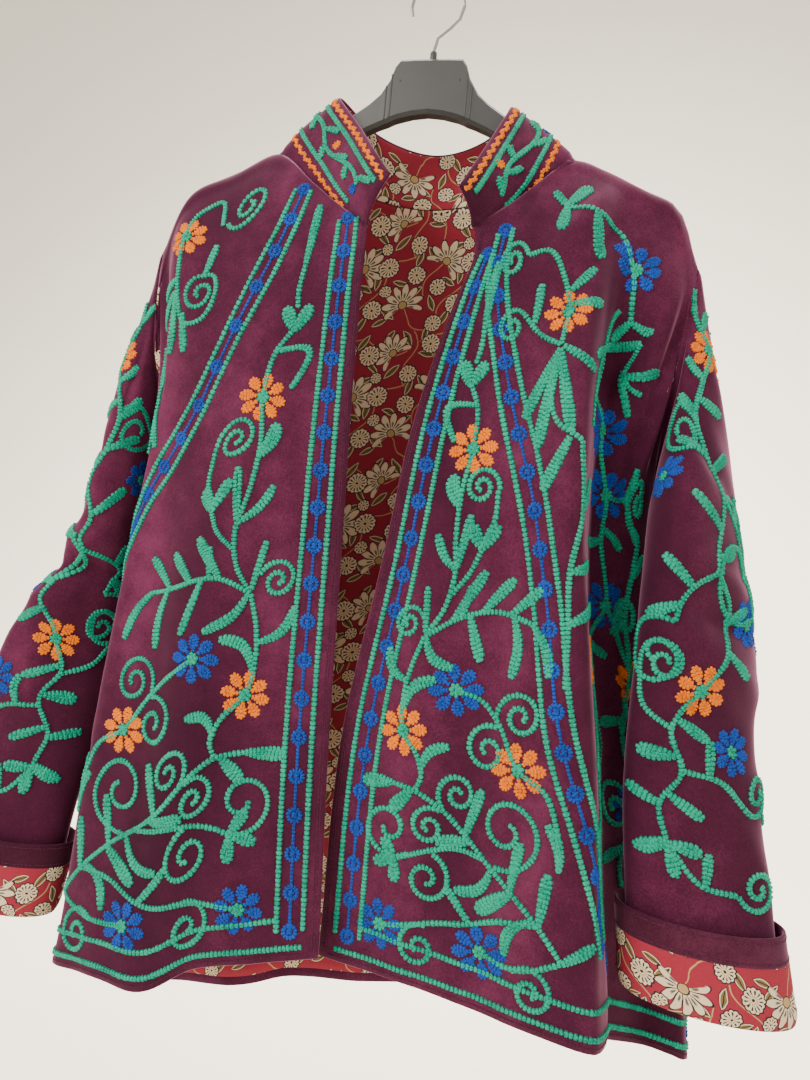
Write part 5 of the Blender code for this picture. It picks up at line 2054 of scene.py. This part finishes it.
@dataclass
class Hung:
    """A piece of cloth as it was cut, and what it hangs from.

    Attributes:
        piece: its mesh.
        cloth: the cloth that its size is read from.
        rests_on: the node that it hangs from.
        share: the share of the cloth's width that the piece takes.
        pieces: the stitches on it.
    """

    piece: bpy.types.Object
    cloth: Cloth
    rests_on: str
    share: float = 1.0
    pieces: list[bpy.types.Object] = field(default_factory=list)

    def declare(self) -> None:
        """States the size it was cut to before it was hung."""
        grid = self.cloth.closed() * MM
        rounds = np.linalg.norm(np.diff(grid, axis=0), axis=2).sum(axis=0)
        width, length = float(np.median(rounds)) * self.share, float(np.max(self.cloth.up)) * MM
        crossed = np.cross(grid[1:, 1:] - grid[:-1, :-1], grid[1:, :-1] - grid[:-1, 1:])
        area = float(np.linalg.norm(crossed, axis=2).sum()) / 2 * self.share
        log.info("%s: cut %.3f by %.3f m, %.3f square metres", self.piece.name, width, length, area)
        min(area, width * length)


@dataclass
class Finishes:
    """Every material of the jacket and its hanger."""

    velvet: bpy.types.Material
    facing: bpy.types.Material
    lining: bpy.types.Material
    plastic: bpy.types.Material
    hollow: bpy.types.Material
    steel: bpy.types.Material
    yarns: dict[Yarns, bpy.types.Material]

    @classmethod
    def make(cls) -> "Finishes":
        """Builds them all."""
        return cls(
            velvet=Velvet(
                "plum_velvet", (0.028, 0.003, 0.014), (0.108, 0.014, 0.049), (0.23, 0.045, 0.115)
            ).make(),
            facing=Velvet(
                "facing_velvet", (0.024, 0.003, 0.011), (0.085, 0.014, 0.038), (0.17, 0.04, 0.085)
            ).make(),
            lining=Print("printed_cotton").make(),
            plastic=Moulded("grey_plastic", (0.030, 0.030, 0.033), (0.075, 0.075, 0.08)).make(),
            # Near-black plastic for the hole discs: painted shade standing in for the holes.
            hollow=Moulded("hollow_shade", (0.012, 0.012, 0.013), (0.03, 0.03, 0.03)).make(),
            steel=Drawn("steel_wire", (0.40, 0.39, 0.38)).make(),
            yarns={
                Yarns.TEAL: Yarn("teal_yarn", (0.003, 0.45, 0.28), (0.0, 0.16, 0.11)).make(),
                Yarns.BLUE: Yarn("blue_yarn", (0.008, 0.085, 0.48), (0.003, 0.025, 0.17)).make(),
                Yarns.ORANGE: Yarn("orange_yarn", (0.96, 0.25, 0.0), (0.66, 0.115, 0.0)).make(),
                Yarns.CHAIN: Yarn("fine_blue_yarn", (0.008, 0.085, 0.48), (0.003, 0.025, 0.17)).make(),
                Yarns.THREAD: Yarn("sewing_thread", (0.10, 0.016, 0.045), (0.045, 0.006, 0.02)).make(),
            },
        )


@dataclass
class Jacket:
    """The jacket's cloth, its linings and its embroidery."""

    finishes: Finishes
    cloths: dict[str, Cloth] = field(default_factory=garment_cloths)
    hung: dict[str, Hung] = field(default_factory=dict)

    def build(self) -> None:
        """Makes every piece."""
        groups = seam_groups(self.cloths.values())
        share_normals(groups)
        for order, (name, cloth) in enumerate(self.cloths.items()):
            rumpled(cloth, FOLDS.get(name, ()), SEWN_EDGES[name], order + 1.0)
        share_normals(groups)
        self.panels()
        self.linings()
        self.cuffs()
        self.embroidery()
        for sheet in self.hung.values():
            sheet.declare()

    def panels(self) -> None:
        """The velvet panels with their own linings."""
        for name, cloth in self.cloths.items():
            inside = self.finishes.velvet if name == "collar" else self.finishes.lining
            edges = SEWN_EDGES[name] + TURNED_HEMS.get(name, ())
            piece = Wall(cloth, VELVET, VELVET * 0.4, turned_in=edges).build(
                name + "_cloth", self.finishes.velvet, inside
            )
            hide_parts(*REPLACED.get(name, (name,)))
            self.hung[name] = Hung(piece, cloth, RESTS_ON[name])

    def linings(self) -> None:
        """The linings of the back and the collar, which show."""
        under = VELVET + LINING_GAP
        first, last = (cell * FINER_ACROSS for cell in BACK_LINING_COLUMNS)
        lining = self.finishes.lining
        back = Wall(
            self.cloths["back"], LINING, LINING * 0.4, under, (first, last),
            {"top": 1.0, "bottom": LINING_HEM_INSET},
        ).build("back_lining_cloth", lining, lining)
        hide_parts("back_lining")
        self.hung["back_lining"] = Hung(back, self.cloths["back"], "back", LINING_SHARE)
        insets = {"top": 0.5, "bottom": LINING_INSET, "first": LINING_INSET, "last": LINING_INSET}
        stand = Wall(
            self.cloths["collar"], LINING, LINING * 0.4, under, None, insets
        ).build("collar_lining_cloth", lining, lining)
        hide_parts("collar_lining")
        self.hung["collar_lining"] = Hung(stand, self.cloths["collar"], "collar")

    def cuffs(self) -> None:
        """The turned-back ends of the sleeves."""
        for name, rows, side in (("left", LEFT_SLEEVE, 1), ("right", RIGHT_SLEEVE, -1)):
            facing = Side.FRONT if side > 0 else Side.BACK
            count = len(self.cloths[name + "_sleeve"].grid)
            turned_back = [
                Cloth(f"{name}_{part}", grid, facing, True)
                for part, grid in zip(("cuff", "cuff_facing"), cuff_rings(rows, side, count))
            ]
            share_normals(seam_groups(turned_back))
            stuffs = ((self.finishes.lining, "printed_lining"), (self.finishes.facing, "facing_velvet"))
            for cloth, (stuff, slot) in zip(turned_back, stuffs):
                wall = Wall(cloth, CUFF_WALL, CUFF_WALL * 0.4)
                piece = wall.build(cloth.name + "_cloth", stuff, self.finishes.velvet)
                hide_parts(cloth.name)
                self.hung[cloth.name] = Hung(piece, cloth, name + "_sleeve_front")
            strip = turned_back[-1]
            needle = Needlework(strip)
            for up in (float(strip.up.min()) + 3.0, float(strip.up.max()) - 3.0):
                first, last = float(strip.across.min()), float(strip.across.max())
                needle.line(zigzag(first, last, up, 0.0, 10.0), Yarns.THREAD)
            self.hung[strip.name].pieces = needle.stitched(strip.name, self.finishes.yarns, side + 20)

    def embroidery(self) -> None:
        """The chain stitch on every piece."""
        cloths = self.cloths
        works = {
            "right_front": front_needlework(
                cloths["right_front"], RIGHT_SCALE, RIGHT_SLANT, RIGHT_SHOULDER,
                RIGHT_EDGE_TOP, RIGHT_HEM_REACH,
            ),
            "left_front": front_needlework(
                cloths["left_front"], LEFT_SCALE, LEFT_SLANT, LEFT_SHOULDER,
                LEFT_EDGE_TOP, LEFT_HEM_REACH,
            ),
            "back": back_needlework(cloths["back"]),
            "left_sleeve": sleeve_needlework(cloths["left_sleeve"], LEFT_SLEEVE_FACES),
            "right_sleeve": sleeve_needlework(cloths["right_sleeve"], RIGHT_SLEEVE_FACES),
            "collar": collar_needlework(cloths["collar"]),
        }
        for seed, (name, needle) in enumerate(works.items()):
            self.hung[name].pieces = needle.stitched(name, self.finishes.yarns, seed)


def main() -> None:
    """Dresses the jacket, piece by piece."""
    logging.basicConfig(level=logging.INFO, format="%(name)s %(message)s")
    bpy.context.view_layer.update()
    finishes = Finishes.make()
    Jacket(finishes).build()
    for node, stuff in (("hanger_body", finishes.plastic), ("hanger_hook", finishes.steel)):
        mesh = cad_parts[node].data
        mesh.materials.clear()
        mesh.materials.append(stuff)
    HangerMarks(finishes.plastic, finishes.hollow).build()
    Studio().build()


if __name__ == "__main__":
    main()
